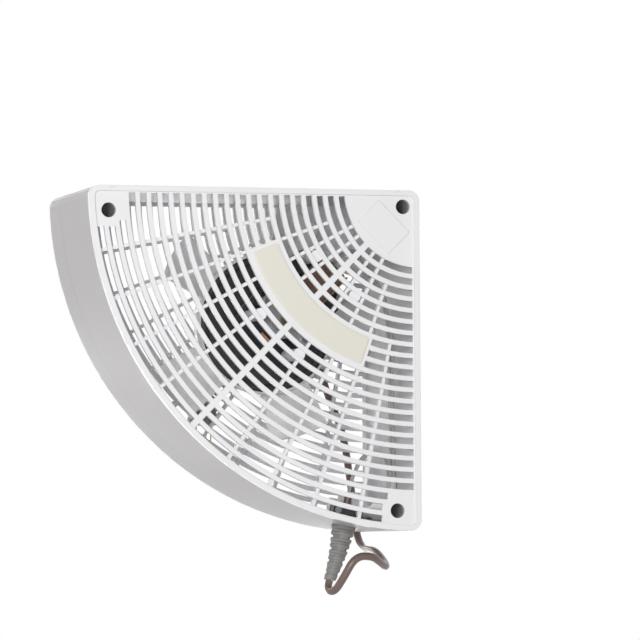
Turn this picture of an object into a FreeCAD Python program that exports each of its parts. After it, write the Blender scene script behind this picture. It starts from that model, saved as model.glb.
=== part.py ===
import FreeCAD, Part
import math
import os
import re

import Sketcher
from FreeCAD import Placement, Rotation, Vector

# Doorway fan for the upper corner of a door opening, in millimetres.
# +Z is up, the front grille faces -Y, the head face is z = 0 and the jamb face is x = side / 2.
# Reach and angle mean polar places about the square corner, angles in degrees below the head face.

doc = FreeCAD.newDocument("doorway_fan")
sheet = doc.addObject("Spreadsheet::Sheet", "Sizes")

SIZES = [
    ("side", 280, "head face and jamb face, from the corner to the end"),
    ("depth", 140, "front face to rear face"),
    ("corner_radius", 9, "rounding of the three upright corners"),
    ("wall", 3, "casing wall"),
    ("rim_depth", 6, "front grille, from its face to the casing"),
    ("rim_rise", 2, "raised rim above the slotted plate"),
    ("rim_lip", 4.5, "width of the raised rim"),
    ("skirt_depth", 42, "rear grille, from the casing to its face"),
    ("rear_rounding", 6, "rounding of the rear edge"),
    ("grille_layer", 3, "thickness of the slotted layers"),
    ("rim_width", 5.5, "plain margin along the flat edges"),
    ("arc_margin", 5, "plain margin along the curved edge"),
    ("slot_start", 63.65, "reach of the first slot"),
    ("slot_width", 5.4, "ring slot"),
    ("slot_pitch", 9.35, "from one ring slot to the next"),
    ("diagonal_width", 5, "flush rib on the diagonal"),
    ("rib_width", 2.8, "set-back radial rib"),
    ("rib_depth", 4, "set-back radial rib, behind the slotted layer"),
    ("rib_clearance", 0.4, "radial rib to the casing wall"),
    ("rib_step", 8.5, "angle from one radial rib to the next"),
    ("mid_rib_slot", 2, "slots that the next pair of ribs leaves free at the corner"),
    ("short_rib_slot", 7, "slots that the outer pair of ribs leaves free at the corner"),
    ("pad_length", 31, "plain pad at each far end, along the flat edge"),
    ("pad_height", 33, "plain pad at each far end, across the flat edge"),
    ("pad_round", 16, "radius of a far pad's inner corner"),
    ("pip_length", 4.5, "locating pip on the rim"),
    ("pip_height", 1.7, "locating pip, into the rim's depth"),
    ("pip_proud", 0.4, "locating pip, above the front face"),
    ("panel_reach", 30, "raised corner panel, from the square corner along the diagonal"),
    ("panel_height", 26, "raised corner panel, along the diagonal"),
    ("panel_length", 37, "raised corner panel, across the diagonal"),
    ("panel_rise", 0.5, "raised corner panel"),
    ("corner_inset", 13.5, "corner screw well to both flat faces"),
    ("well_inset", 20, "far screw well to its flat face"),
    ("well_end", 16.5, "far screw well to the far end"),
    ("well_bore", 6, "radius of a screw well"),
    ("well_wall", 2.5, "wall of a screw well and of its post"),
    ("well_depth", 52, "front face to the bottom of a well"),
    ("well_floor", 2, "floor of a screw well"),
    ("web_width", 3, "web from a screw post to the casing"),
    ("screw_radius", 2, "grille screw shank"),
    ("screw_play", 0.3, "shank to its clearance hole"),
    ("thread_play", 0.05, "thread to its tapped hole"),
    ("screw_bite", 18, "length of thread in the rear grille"),
    ("screw_head_radius", 4.2, "grille screw head"),
    ("screw_head_height", 3, "grille screw head"),
    ("label_inner", 129, "label plate, inner reach"),
    ("label_outer", 152.2, "label plate, outer reach"),
    ("label_from", 20.2, "label plate, first angle"),
    ("label_to", 70.5, "label plate, last angle"),
    ("label_thickness", 0.8, "label plate"),
    ("band_margin", 3.6, "plain band inside the label plate"),
    ("band_outer_margin", 4.6, "plain band outside the label plate"),
    ("mount_spacing", 180, "fixing holes in the head wall and in the jamb wall"),
    ("mount_hole", 2.25, "radius of a fixing hole"),
    ("axis_offset", 106.5, "motor axis to both flat faces"),
    ("motor_depth", 54, "front face to the middle of the lamination stack"),
    ("stack_thickness", 22, "lamination stack"),
    ("stack_half_width", 28, "lamination stack, half its width across the diagonal"),
    ("stack_back", 24, "lamination stack, from the axis away from the corner"),
    ("stack_reach", 56, "lamination stack, from the axis towards the corner"),
    ("arm_width", 12, "arms beside the window of the stack"),
    ("leg_width", 16, "leg that carries the winding"),
    ("window_start", 24, "window of the stack, from the axis"),
    ("rotor_radius", 15, "rotor core"),
    ("air_gap", 0.35, "rotor core to the stack"),
    ("shaft_radius", 2.5, "motor shaft"),
    ("cage_ring", 3, "thickness of a cage end ring"),
    ("bush_radius", 5, "sleeve bearing, outside"),
    ("bush_length", 9, "sleeve bearing"),
    ("bush_play", 0.03, "shaft to its sleeve bearing"),
    ("bracket_leg", 12, "bearing bracket, leg length"),
    ("bracket_leg_radius", 4.5, "bearing bracket, leg"),
    ("bracket_bar", 3, "bearing bracket, bar thickness"),
    ("bracket_width", 15, "bearing bracket, bar width"),
    ("bracket_span", 22, "bracket screw to the axis"),
    ("bracket_boss", 8.5, "bearing boss radius"),
    ("bracket_screw", 1.6, "bracket screw shank radius"),
    ("washer_radius", 4.5, "thrust washer"),
    ("washer_thickness", 0.8, "thrust washer"),
    ("end_play", 0.3, "thrust washer to its sleeve bearing"),
    ("coil_build", 8, "depth of the wrapped winding"),
    ("former_wall", 1.2, "winding former"),
    ("former_play", 0.2, "winding former to its leg"),
    ("former_half_length", 14, "winding former, half its length"),
    ("flange_height", 8.6, "flange of the winding former"),
    ("shade_bar", 2, "shading ring, square bar"),
    ("shade_play", 0.15, "shading ring to its slot"),
    ("shade_span", 9, "shading ring, from bar to bar"),
    ("shade_reach", 19.5, "shading ring to the axis"),
    ("fixing_back", 18, "rear motor fixings, from the axis"),
    ("fixing_front", 50, "front motor fixings, from the axis"),
    ("fixing_half_width", 23, "motor fixings to the diagonal"),
    ("post_radius", 5, "motor post on the front grille"),
    ("fixing_radius", 1.75, "motor fixing screw"),
    ("fixing_bite", 14, "motor fixing screw in its post"),
    ("grommet_thickness", 3, "rubber grommet"),
    ("hub_radius", 57, "fan hub"),
    ("hub_depth", 15, "fan hub"),
    ("hub_wall", 2.5, "fan hub"),
    ("hub_boss", 7, "fan hub, boss radius"),
    ("hub_gap", 4, "rear bearing bracket to the fan hub"),
    ("clip_thickness", 1.5, "push-on clip behind the hub"),
    ("shaft_tail", 2.5, "shaft beyond the clip"),
    ("ring_play", 0.05, "blade ring to the hub"),
    ("ring_wall", 2.2, "blade ring"),
    ("tip_radius", 98, "blade tip"),
    ("blade_count", 5, "blades"),
    ("blade_thickness", 2, "blade"),
    ("root_chord", 40, "blade width at the ring"),
    ("tip_chord", 54, "blade width at the tip"),
    ("root_pitch", 34, "blade angle at the ring"),
    ("tip_pitch", 24, "blade angle at the tip"),
    ("blade_camber", 3, "blade hollow"),
    ("gland_inset", 48.5, "strain relief to the jamb face"),
    ("gland_depth", 60, "front face to the strain relief"),
    ("gland_bore", 6, "hole for the strain relief"),
    ("relief_length", 46, "strain relief outside the casing"),
    ("relief_root", 10.3, "strain relief at the casing"),
    ("relief_tip", 4.9, "strain relief at its tip"),
    ("relief_ribs", 9, "ribs of the strain relief"),
    ("relief_rib_height", 1.1, "rib of the strain relief"),
    ("relief_flange", 9, "strain relief inside the casing"),
    ("flange_thickness", 2, "strain relief inside the casing"),
    ("ledge_length", 22, "ledge under the cord clamp"),
    ("ledge_back", 10, "ledge under the cord clamp, from the cord's middle to its rear face"),
    ("tail_inside", 28, "cord inside the casing, from the curved face"),
    ("cord_radius", 3.25, "power cord"),
    ("cord_play", 0.05, "cord to the strain relief and clamp"),
    ("clamp_width", 12, "cord clamp"),
    ("clamp_half_length", 13, "cord clamp"),
    ("clamp_screw", 1.5, "cord clamp screw"),
    ("clamp_screw_place", 9, "cord clamp screw to the cord"),
    ("lead_radius", 1.1, "inner lead"),
    ("cap_radius", 3.4, "crimp cap"),
    ("cap_length", 17, "crimp cap"),
    ("coil_mean", 38, "put-away cord, middle of its turns"),
    ("coil_pitch", 7, "put-away cord, turn to turn and layer to layer"),
    ("coil_leg", 3.5, "put-away cord, turns from one reversal of its spiral to the next"),
    ("coil_rest", 0.5, "put-away cord to the rear grille"),
    ("tie_width", 5, "cord tie"),
    ("tie_thickness", 1.2, "cord tie"),
    ("tie_slot", 10, "ring slot, counted from the corner, that takes the inner leg of the tie"),
    ("tie_slots_spanned", 4, "slots from the inner leg of the tie to the outer leg"),
    ("tail_length", 46, "cord from the coil to the plug"),
    ("plug_width", 24, "plug body"),
    ("plug_thickness", 16, "plug body"),
    ("plug_length", 30, "plug body"),
    ("plug_rounding", 4, "plug body"),
    ("pin_spacing", 12.7, "plug pins"),
    ("pin_width", 6.3, "plug pins"),
    ("pin_thickness", 1.5, "plug pins"),
    ("pin_length", 17, "plug pins"),
]
for row, (alias, number, note) in enumerate(SIZES, start=1):
    sheet.set(f"A{row}", note)
    sheet.set(f"B{row}", str(number))
    sheet.setAlias(f"B{row}", alias)
doc.recompute()

ALIASES = {alias for alias, number, note in SIZES}
pieces = []


class Numbers:
    """The sheet's numbers by name, for shapes and places worked out in code."""

    def __getattr__(self, alias):
        return float(sheet.get(alias))


s = Numbers()


def bound(formula):
    """A formula in the sheet's names, written as an expression of the document."""
    return re.sub(r"[a-z_]+", lambda word: f"Sizes.{word[0]}" if word[0] in ALIASES else word[0], formula)


def piece(solid, node):
    """Names a finished sub-part."""
    solid.Label = node
    pieces.append(solid)
    return solid


# Directions
ALONG_X = Rotation(Vector(0, 1, 0), 90)
ALONG_Y = Rotation(Vector(1, 0, 0), -90)
UPRIGHT = Rotation()
MOTOR_TURN = Rotation(Vector(0, 1, 0), -45)

# Places along the depth
FRONT = -s.depth / 2
PLATE_FRONT = FRONT + s.rim_rise
LAYER_BACK = PLATE_FRONT + s.grille_layer
CASING_FRONT = FRONT + s.rim_depth
REAR = s.depth / 2
CASING_BACK = REAR - s.skirt_depth
STACK_MIDDLE = FRONT + s.motor_depth


def polar(reach, angle, y=0.0):
    """A place by its reach from the square corner and its angle below the head face."""
    turn = math.radians(angle)
    return Vector(s.side / 2 - reach * math.cos(turn), y, -reach * math.sin(turn))


def cylinder(name, radius, height, place, turn=ALONG_Y):
    solid = doc.addObject("Part::Cylinder", name)
    solid.setExpression("Radius", bound(radius))
    solid.setExpression("Height", bound(height))
    solid.Placement = Placement(place, turn)
    return solid


def box(name, length, width, height, place, turn=UPRIGHT):
    solid = doc.addObject("Part::Box", name)
    for side_name, formula in (("Length", length), ("Width", width), ("Height", height)):
        solid.setExpression(side_name, bound(formula))
    solid.Placement = Placement(place, turn)
    return solid


def fuse(name, *solids):
    joined = doc.addObject("Part::MultiFuse", name)
    joined.Shapes = solids
    return joined


def cut(name, base, *tools):
    pared = doc.addObject("Part::Cut", name)
    pared.Base = base
    pared.Tool = tools[0] if len(tools) == 1 else fuse(name + "_tools", *tools)
    return pared


def group(name, *solids):
    together = doc.addObject("Part::Compound", name)
    together.Links = solids
    return together


def shaped(name, shape, place=None):
    """A solid worked out with geometry functions from the sheet's numbers."""
    solid = doc.addObject("Part::Feature", name)
    solid.Shape = shape
    if place is not None:
        solid.Placement = place
    return solid


def sketch_on(body, role, name):
    sketch = body.newObject("Sketcher::SketchObject", name)
    plane = next(feature for feature in body.Origin.OriginFeatures if feature.Role == role)
    sketch.AttachmentSupport = (plane, [""])
    sketch.MapMode = "FlatFace"
    return sketch


def set_size(sketch, name, constraint, formula):
    """Adds a named driving constraint that follows a formula of the sheet."""
    index = sketch.addConstraint(constraint)
    sketch.renameConstraint(index, name)
    sketch.setExpression(f"Constraints.{name}", bound(formula))


def quarter_outline(body, name, inset, rounding):
    """Sketch of the quarter-round outline, set in from the outer faces and rounded at its corners."""
    sketch = sketch_on(body, "XZ_Plane", name)
    inner = float(sheet.evalExpression(bound(inset)))
    turn = float(sheet.evalExpression(bound(rounding)))
    right = s.side / 2 - inner
    top = -inner
    arc = s.side - inner
    # Centre of the rounding between the arc and a flat edge: it touches both from inside
    slide = math.sqrt((arc - turn) ** 2 - (inner + turn) ** 2)
    left = Vector(s.side / 2 - slide, top - turn, 0)
    low = Vector(right - turn, -slide, 0)
    square = Vector(right - turn, top - turn, 0)
    middle = Vector(s.side / 2, 0, 0)
    normal = Vector(0, 0, 1)
    lean = math.atan2(inner + turn, slide)

    def arc_of(centre, radius, start, stop):
        return Part.ArcOfCircle(Part.Circle(centre, normal, radius), start, stop)

    head, corner, jamb, low_end, sweep, left_end = range(6)
    sketch.addGeometry([
        Part.LineSegment(Vector(left.x, top, 0), Vector(square.x, top, 0)),
        arc_of(square, turn, 0, math.pi / 2),
        Part.LineSegment(Vector(right, square.y, 0), Vector(right, low.y, 0)),
        arc_of(low, turn, 1.5 * math.pi - lean, 2 * math.pi),
        arc_of(middle, arc, math.pi + lean, 1.5 * math.pi - lean),
        arc_of(left, turn, math.pi / 2, math.pi + lean),
    ])
    first, last = 1, 2
    for joint in (
        (head, last, corner, last), (corner, first, jamb, first), (jamb, last, low_end, last),
        (low_end, first, sweep, last), (sweep, first, left_end, last), (left_end, first, head, first),
    ):
        sketch.addConstraint(Sketcher.Constraint("Tangent", *joint))
    sketch.addConstraint(Sketcher.Constraint("Horizontal", head))
    sketch.addConstraint(Sketcher.Constraint("Vertical", jamb))
    sketch.addConstraint(Sketcher.Constraint("PointOnObject", sweep, 3, -1))
    middle_x = Sketcher.Constraint("DistanceX", -1, 1, sweep, 3, s.side / 2)
    set_size(sketch, "middle", middle_x, "side / 2")
    set_size(sketch, "sweep", Sketcher.Constraint("Radius", sweep, arc), f"side - ({inset})")
    set_size(sketch, "jamb", Sketcher.Constraint("DistanceX", -1, 1, jamb, 1, right), f"side / 2 - ({inset})")
    if inner > 0:
        set_size(sketch, "head", Sketcher.Constraint("DistanceY", head, 1, -1, 1, inner), inset)
    else:
        sketch.addConstraint(Sketcher.Constraint("PointOnObject", head, 1, -1))
    for name, index in (("square", corner), ("low", low_end), ("left", left_end)):
        set_size(sketch, name, Sketcher.Constraint("Radius", index, turn), rounding)
    return sketch


def feature(body, kind, name, sketch, length, reverse):
    step = body.newObject(f"PartDesign::{kind}", name)
    step.Profile = sketch
    step.setExpression("Length", bound(length))
    step.Reversed = reverse
    return step


def shell_body(name, length, place_y, rounding="corner_radius"):
    """A body padded from the quarter-round outline towards the rear."""
    body = doc.addObject("PartDesign::Body", name)
    sketch = quarter_outline(body, name + "_outline", "0", rounding)
    feature(body, "Pad", name + "_pad", sketch, length, True)
    body.Placement = Placement(Vector(0, place_y, 0), UPRIGHT)
    return body


def hollow(body, name, length, rim="wall"):
    """Cuts the inside of a shell from its front, leaving its wall or rim."""
    doc.recompute()
    before = body.Shape.Volume
    sketch = quarter_outline(body, name, rim, f"corner_radius - {rim}")
    feature(body, "Pocket", name + "_pocket", sketch, length, False)
    doc.recompute()
    if body.Shape.Volume > 0.9 * before:
        raise ValueError(f"{name} cut nothing")


# Screw wells: two at the far ends and one at the square corner
WELLS = [
    Vector(s.side / 2 - (s.side - s.well_end), 0, -s.well_inset),
    Vector(s.side / 2 - s.corner_inset, 0, -s.corner_inset),
    Vector(s.side / 2 - s.well_inset, 0, -(s.side - s.well_end)),
]


def well_tubes(name, radius, height, y):
    return [cylinder(f"{name}_{n}", radius, height, well + Vector(0, y, 0)) for n, well in enumerate(WELLS)]


def well_webs(name, height, y):
    """Webs that join the three posts to the flat walls beside them."""
    half = s.web_width / 2
    far_end, corner, low_end = WELLS
    to_far = "well_inset - wall / 2"
    to_near = "corner_inset - wall / 2"
    webs = []
    for n, (well, reach) in enumerate(((far_end, to_far), (corner, to_near))):
        webs.append(box(f"{name}_head_{n}", "web_width", height, reach, well + Vector(-half, y, 0)))
    for n, (well, reach) in enumerate(((corner, to_near), (low_end, to_far))):
        webs.append(box(f"{name}_jamb_{n}", reach, height, "web_width", well + Vector(0, y, -half)))
    return webs


# Ring slots, the same in both grilles
def ring_sector(inner, outer, start, stop):
    """Face between two reaches and two angles."""
    middle = (start + stop) / 2
    out_arc = Part.Arc(polar(outer, start), polar(outer, middle), polar(outer, stop)).toShape()
    in_arc = Part.Arc(polar(inner, stop), polar(inner, middle), polar(inner, start)).toShape()
    down = Part.LineSegment(polar(outer, stop), polar(inner, stop)).toShape()
    back = Part.LineSegment(polar(inner, start), polar(outer, start)).toShape()
    return Part.Face(Part.Wire([out_arc, down, in_arc, back]))


def pad_edge(reach):
    """Height of a far pad at a reach: level, with its inner corner rounded."""
    short = max(s.side - s.pad_length + s.pad_round - reach, 0)
    return s.pad_height - s.pad_round + math.sqrt(max(s.pad_round ** 2 - short ** 2, 0))


def slot_angles(inner, outer, banded):
    """The stretches of one ring slot, clear of the margins, pads, diagonal rib and label band."""
    plain = pad_edge((inner + outer) / 2) if outer > s.side - s.pad_length else s.rim_width
    start = math.degrees(math.asin(plain / inner))
    gap = math.degrees(math.asin(s.diagonal_width / 2 / inner))
    stops = (45 - gap, 45 + gap)
    in_band = outer > s.label_inner - s.band_margin and inner < s.label_outer + s.band_outer_margin
    if banded and in_band:
        edge = math.degrees(s.rib_width / inner)
        stops = (s.label_from - edge, s.label_to + edge)
    return [(start, stops[0]), (stops[1], 90 - start)]


def slot_cutters(name, y, banded):
    """Every ring slot as one tool that passes right through a slotted layer."""
    over = s.grille_layer / 3
    room = s.side - s.arc_margin - s.slot_start - s.slot_width
    count = int(room / s.slot_pitch) + 1
    cutters = []
    for ring in range(count):
        inner = s.slot_start + ring * s.slot_pitch
        outer = inner + s.slot_width
        for start, stop in slot_angles(inner, outer, banded):
            face = ring_sector(inner, outer, start, stop)
            cutters.append(face.extrude(Vector(0, s.grille_layer + 2 * over, 0)))
    return shaped(name, Part.makeCompound(cutters), Placement(Vector(0, y - over, 0), UPRIGHT))


def radial_ribs(name, y):
    """Set-back ribs that tie the rings together, sunk a little into the slotted layer."""
    half_ring = (s.slot_pitch - s.slot_width) / 2
    ribs = []
    for step, free in enumerate((0, 0, 0, s.mid_rib_slot, s.short_rib_slot)):
        start = s.slot_start + free * s.slot_pitch - half_ring
        for sign in (-1, 1) if step else (1,):
            angle = 45 + sign * step * s.rib_step
            turn = Rotation(Vector(0, 1, 0), 180 - angle)
            place = polar(start, angle, y) - turn.multVec(Vector(0, 0, s.rib_width / 2))
            length = f"side - wall - rib_clearance - {start}"
            ribs.append(box(f"{name}_{step}_{sign + 1}", length, "rib_depth", "rib_width", place, turn))
    return ribs


# Motor frame: local X points to the square corner, local Y to the rear
MOTOR = Placement(Vector(s.side / 2 - s.axis_offset, STACK_MIDDLE, -s.axis_offset), MOTOR_TURN)
STACK_FRONT = -s.stack_thickness / 2
STACK_REAR = s.stack_thickness / 2
FIXINGS = [
    (along, across * s.fixing_half_width)
    for along in (-s.fixing_back, s.fixing_front)
    for across in (-1, 1)
]


def motor(x, y, z):
    return MOTOR.multVec(Vector(x, y, z))


# Cord gland frame: local Z points straight out of the curved wall, local Y to the rear
GLAND_ANGLE = math.degrees(math.acos(s.gland_inset / s.side))
GLAND_TURN = Rotation(Vector(0, 1, 0), 270 - GLAND_ANGLE)
GLAND = Placement(polar(s.side, GLAND_ANGLE, FRONT + s.gland_depth), GLAND_TURN)
CLAMP_FRONT = -(s.cord_radius + s.cord_play + s.wall)
CLAMP_MIDDLE = -(s.ledge_length + s.wall) / 2
FLANGE_BACK = -(s.wall + s.screw_play + s.flange_thickness)


def gland(x, y, z):
    return GLAND.multVec(Vector(x, y, z))


def make_casing():
    shell = shell_body("casing_shell", "depth - rim_depth - skirt_depth", CASING_FRONT)
    hollow(shell, "casing_hollow", "depth - rim_depth - skirt_depth")
    post_y = FRONT + s.well_depth
    post_length = "depth - well_depth - skirt_depth"
    posts = well_tubes("casing_post", "screw_radius + screw_play + well_wall", post_length, post_y)
    webs = well_webs("casing_web", post_length, post_y)
    ledge_width = s.clamp_half_length + s.wall / 3
    ledge = box(
        "clamp_ledge", "2 * clamp_half_length + 2 * wall / 3", "ledge_back - cord_radius - cord_play",
        "ledge_length - wall / 2",
        gland(-ledge_width, s.cord_radius + s.cord_play, -s.ledge_length), GLAND_TURN,
    )
    solid = fuse("casing_solid", shell, ledge, *posts, *webs)
    bores = well_tubes("casing_bore", "screw_radius + screw_play", post_length, post_y)
    half = s.mount_spacing / 2
    middle = -s.side / 2
    for n, sign in enumerate((-1, 1)):
        head = Vector(sign * half, 0, -s.wall * 1.5)
        jamb = Vector(s.side / 2 - s.wall * 1.5, 0, middle + sign * half)
        bores.append(cylinder(f"head_hole_{n}", "mount_hole", "2 * wall", head, UPRIGHT))
        bores.append(cylinder(f"jamb_hole_{n}", "mount_hole", "2 * wall", jamb, ALONG_X))
        screw = gland(sign * s.clamp_screw_place, s.cord_radius, CLAMP_MIDDLE)
        bores.append(cylinder(f"ledge_hole_{n}", "clamp_screw + thread_play", "wall * 2", screw))
    bores.append(cylinder("gland_hole", "gland_bore", "3 * wall", gland(0, 0, -2 * s.wall), GLAND_TURN))
    bores.append(cylinder(
        "flange_room", "relief_flange + screw_play", "flange_thickness + 2 * screw_play + wall / 10",
        gland(0, 0, FLANGE_BACK - s.screw_play), GLAND_TURN,
    ))
    piece(cut("casing_cut", solid, *bores), "casing")


def make_front_grille():
    plate = shell_body("front_plate", "grille_layer", PLATE_FRONT)
    slotted = cut("front_slotted", plate, slot_cutters("front_slots", PLATE_FRONT, True))
    rim = shell_body("front_rim", "rim_depth", FRONT)
    hollow(rim, "front_rim_hollow", "rim_depth")
    lip = shell_body("front_lip", "rim_rise + grille_layer / 2", FRONT)
    hollow(lip, "front_lip_hollow", "rim_rise + grille_layer / 2", "rim_lip")
    ribs = radial_ribs("front_rib", LAYER_BACK - s.wall / 6)
    wells = well_tubes("front_well", "well_bore + well_wall", "well_depth - rim_rise", PLATE_FRONT)
    plate_middle = PLATE_FRONT + s.grille_layer / 2
    post_length = "motor_depth - stack_thickness / 2 - grommet_thickness - rim_rise - grille_layer / 2"
    posts = [
        cylinder(f"motor_post_{n}", "post_radius", post_length, motor(x, plate_middle - STACK_MIDDLE, z))
        for n, (x, z) in enumerate(FIXINGS)
    ]
    across = Rotation(Vector(0, 1, 0), 45)
    panel_place = polar(s.panel_reach + s.panel_height, 45, PLATE_FRONT - s.panel_rise)
    panel_place -= across.multVec(Vector(s.panel_length / 2, 0, 0))
    panel = box(
        "corner_panel", "panel_length", "panel_rise + grille_layer / 2", "panel_height", panel_place, across,
    )
    pip_y = FRONT - s.pip_proud
    pip_depth = "pip_proud + grille_layer"
    edge = s.pip_height
    far_pip = Vector(WELLS[0].x, pip_y, -edge)
    near_pip = Vector(WELLS[1].x - 2 * s.pip_length, pip_y, -edge)
    side_pip = Vector(s.side / 2 - edge, pip_y, WELLS[1].z - 2 * s.pip_length)
    pips = [
        box("far_pip", "pip_length", pip_depth, "pip_height", far_pip),
        box("near_pip", "pip_length", pip_depth, "pip_height", near_pip),
        box("side_pip", "pip_height", pip_depth, "pip_length", side_pip),
    ]
    solid = fuse("front_solid", slotted, rim, lip, panel, *ribs, *wells, *posts, *pips)
    bores = well_tubes("well_hole", "well_bore", "well_depth - well_floor + wall", FRONT - s.wall)
    bores += well_tubes("well_screw_hole", "screw_radius + screw_play", "well_depth + wall", FRONT)
    hole_depth = s.motor_depth + STACK_FRONT - s.grommet_thickness - s.fixing_bite
    bores += [
        cylinder(f"motor_post_hole_{n}", "fixing_radius + thread_play", "fixing_bite + wall",
                 motor(x, FRONT + hole_depth - STACK_MIDDLE, z))
        for n, (x, z) in enumerate(FIXINGS)
    ]
    piece(cut("front_cut", solid, *bores), "front_grille")


def make_rear_grille():
    skirt = shell_body("rear_skirt", "skirt_depth", CASING_BACK)
    doc.recompute()
    pad = skirt.Tip
    rear_edges = [
        f"Edge{n}" for n, edge in enumerate(pad.Shape.Edges, start=1)
        if edge.BoundBox.YMin > s.skirt_depth - s.wall / 100
    ]
    fillet = skirt.newObject("PartDesign::Fillet", "rear_edge")
    fillet.Base = (pad, rear_edges)
    fillet.setExpression("Radius", bound("rear_rounding"))
    hollow(skirt, "rear_hollow", "skirt_depth - grille_layer")
    layer_front = REAR - s.grille_layer
    slotted = cut("rear_slotted", skirt, slot_cutters("rear_slots", layer_front, False))
    ribs = radial_ribs("rear_rib", layer_front - s.rib_depth + s.wall / 6)
    post_length = "skirt_depth - grille_layer / 2"
    posts = well_tubes("rear_post", "screw_radius + screw_play + well_wall", post_length, CASING_BACK)
    webs = well_webs("rear_web", post_length, CASING_BACK)
    solid = fuse("rear_solid", slotted, *ribs, *posts, *webs)
    tapped = "screw_radius + thread_play"
    bores = well_tubes("rear_bore", tapped, "screw_bite + wall", CASING_BACK - s.wall / 2)
    piece(cut("rear_cut", solid, *bores), "rear_grille")


def make_label():
    """Bare plate on the plain band of the front grille."""
    turn = ALONG_Y.multiply(Rotation(Vector(0, 0, 1), 180 - s.label_to))
    place = polar(0, 0, PLATE_FRONT - s.label_thickness)
    outer = cylinder("label_sector", "label_outer", "label_thickness", place, turn)
    outer.setExpression("Angle", bound("label_to - label_from"))
    inner = cylinder("label_core", "label_inner", "label_thickness", place)
    piece(cut("label_cut", outer, inner), "label_plate")


def make_grille_screws():
    seat = FRONT + s.well_depth - s.well_floor
    shank = "depth - skirt_depth + screw_bite - well_depth + well_floor"
    screws = []
    for n, well in enumerate(WELLS):
        seat_place = well + Vector(0, seat, 0)
        head_place = seat_place - Vector(0, s.screw_head_height, 0)
        head = cylinder(f"screw_head_{n}", "screw_head_radius", "screw_head_height", head_place)
        stem = cylinder(f"screw_stem_{n}", "screw_radius", shank, seat_place)
        corner = head_place + Vector(-s.screw_radius, 0, -s.screw_radius / 4)
        upright = head_place + Vector(-s.screw_radius / 4, 0, -s.screw_radius)
        wing, slit = "2 * screw_radius", "screw_radius / 2"
        across = box(f"screw_slit_{n}", wing, "screw_head_height / 2", slit, corner)
        down = box(f"screw_cross_{n}", slit, "screw_head_height / 2", wing, upright)
        screws.append(cut(f"screw_{n}", fuse(f"screw_solid_{n}", head, stem), across, down))
    piece(group("grille_screw_set", *screws), "grille_screws")


def rounded(name, base, radius, direction):
    """Rounds the straight edges of a solid that run along a direction."""
    doc.recompute()
    edges = []
    for n, edge in enumerate(base.Shape.Edges, start=1):
        if abs(edge.tangentAt(edge.FirstParameter).dot(direction)) > 0.999:
            edges.append((n, radius, radius))
    fillet = doc.addObject("Part::Fillet", name)
    fillet.Base = base
    fillet.Edges = edges
    return fillet


def motor_box(name, lengths, middle):
    """A box by its middle in the motor frame; its three lengths are formulas."""
    half = [float(sheet.evalExpression(bound(formula))) / 2 for formula in lengths]
    corner = motor(*(place - size for place, size in zip(middle, half)))
    return box(name, *lengths, corner, MOTOR_TURN)


def sketch_rectangle(sketch, name, left, right, low, high):
    """Rectangle whose four sides follow formulas measured from the sketch's origin."""
    x0, x1, y0, y1 = (float(sheet.evalExpression(bound(formula))) for formula in (left, right, low, high))
    corners = [Vector(x0, y0, 0), Vector(x1, y0, 0), Vector(x1, y1, 0), Vector(x0, y1, 0)]
    first = sketch.GeometryCount
    for start, stop in zip(corners, corners[1:] + corners[:1]):
        sketch.addGeometry(Part.LineSegment(start, stop))
    for n in range(4):
        sketch.addConstraint(Sketcher.Constraint("Coincident", first + n, 2, first + (n + 1) % 4, 1))
        sketch.addConstraint(Sketcher.Constraint(("Horizontal", "Vertical")[n % 2], first + n))
    for side_name, direction, corner, formula, number in (
        ("left", "DistanceX", first, left, x0), ("right", "DistanceX", first + 2, right, x1),
        ("low", "DistanceY", first, low, y0), ("high", "DistanceY", first + 2, high, y1),
    ):
        constraint = Sketcher.Constraint(direction, -1, 1, corner, 1, number)
        set_size(sketch, f"{name}_{side_name}", constraint, formula)


def make_stack():
    """C-shaped core: rotor bore at one end, window, and the leg that carries the winding."""
    body = doc.addObject("PartDesign::Body", "stack_body")
    sketch = sketch_on(body, "XZ_Plane", "stack_outline")
    sketch_rectangle(sketch, "outer", "-stack_back", "stack_reach", "-stack_half_width", "stack_half_width")
    arm = "stack_half_width - arm_width"
    sketch_rectangle(sketch, "window", "window_start", "stack_reach - leg_width", f"-({arm})", arm)
    bore = s.rotor_radius + s.air_gap
    index = sketch.addGeometry(Part.Circle(Vector(0, 0, 0), Vector(0, 0, 1), bore))
    sketch.addConstraint(Sketcher.Constraint("Coincident", index, 3, -1, 1))
    set_size(sketch, "bore", Sketcher.Constraint("Radius", index, bore), "rotor_radius + air_gap")
    feature(body, "Pad", "stack_pad", sketch, "stack_thickness", True)
    body.Placement = Placement(motor(0, STACK_FRONT, 0), MOTOR_TURN)
    holes = [
        cylinder(f"stack_screw_hole_{n}", "bracket_screw + screw_play", "stack_thickness",
                 motor(0, STACK_FRONT, sign * s.bracket_span))
        for n, sign in enumerate((-1, 1))
    ]
    holes += [
        cylinder(f"stack_fixing_hole_{n}", "fixing_radius + screw_play", "stack_thickness",
                 motor(x, STACK_FRONT, z))
        for n, (x, z) in enumerate(FIXINGS)
    ]
    slot = "shade_bar + 2 * shade_play"
    for x in (-s.shade_reach, s.shade_reach):
        for z in (-s.shade_span / 2, s.shade_span / 2):
            holes.append(motor_box(f"shade_slot_{len(holes)}", (slot, "stack_thickness", slot), (x, 0, z)))
    piece(cut("stack_cut", body, *holes), "motor_stack")


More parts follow.
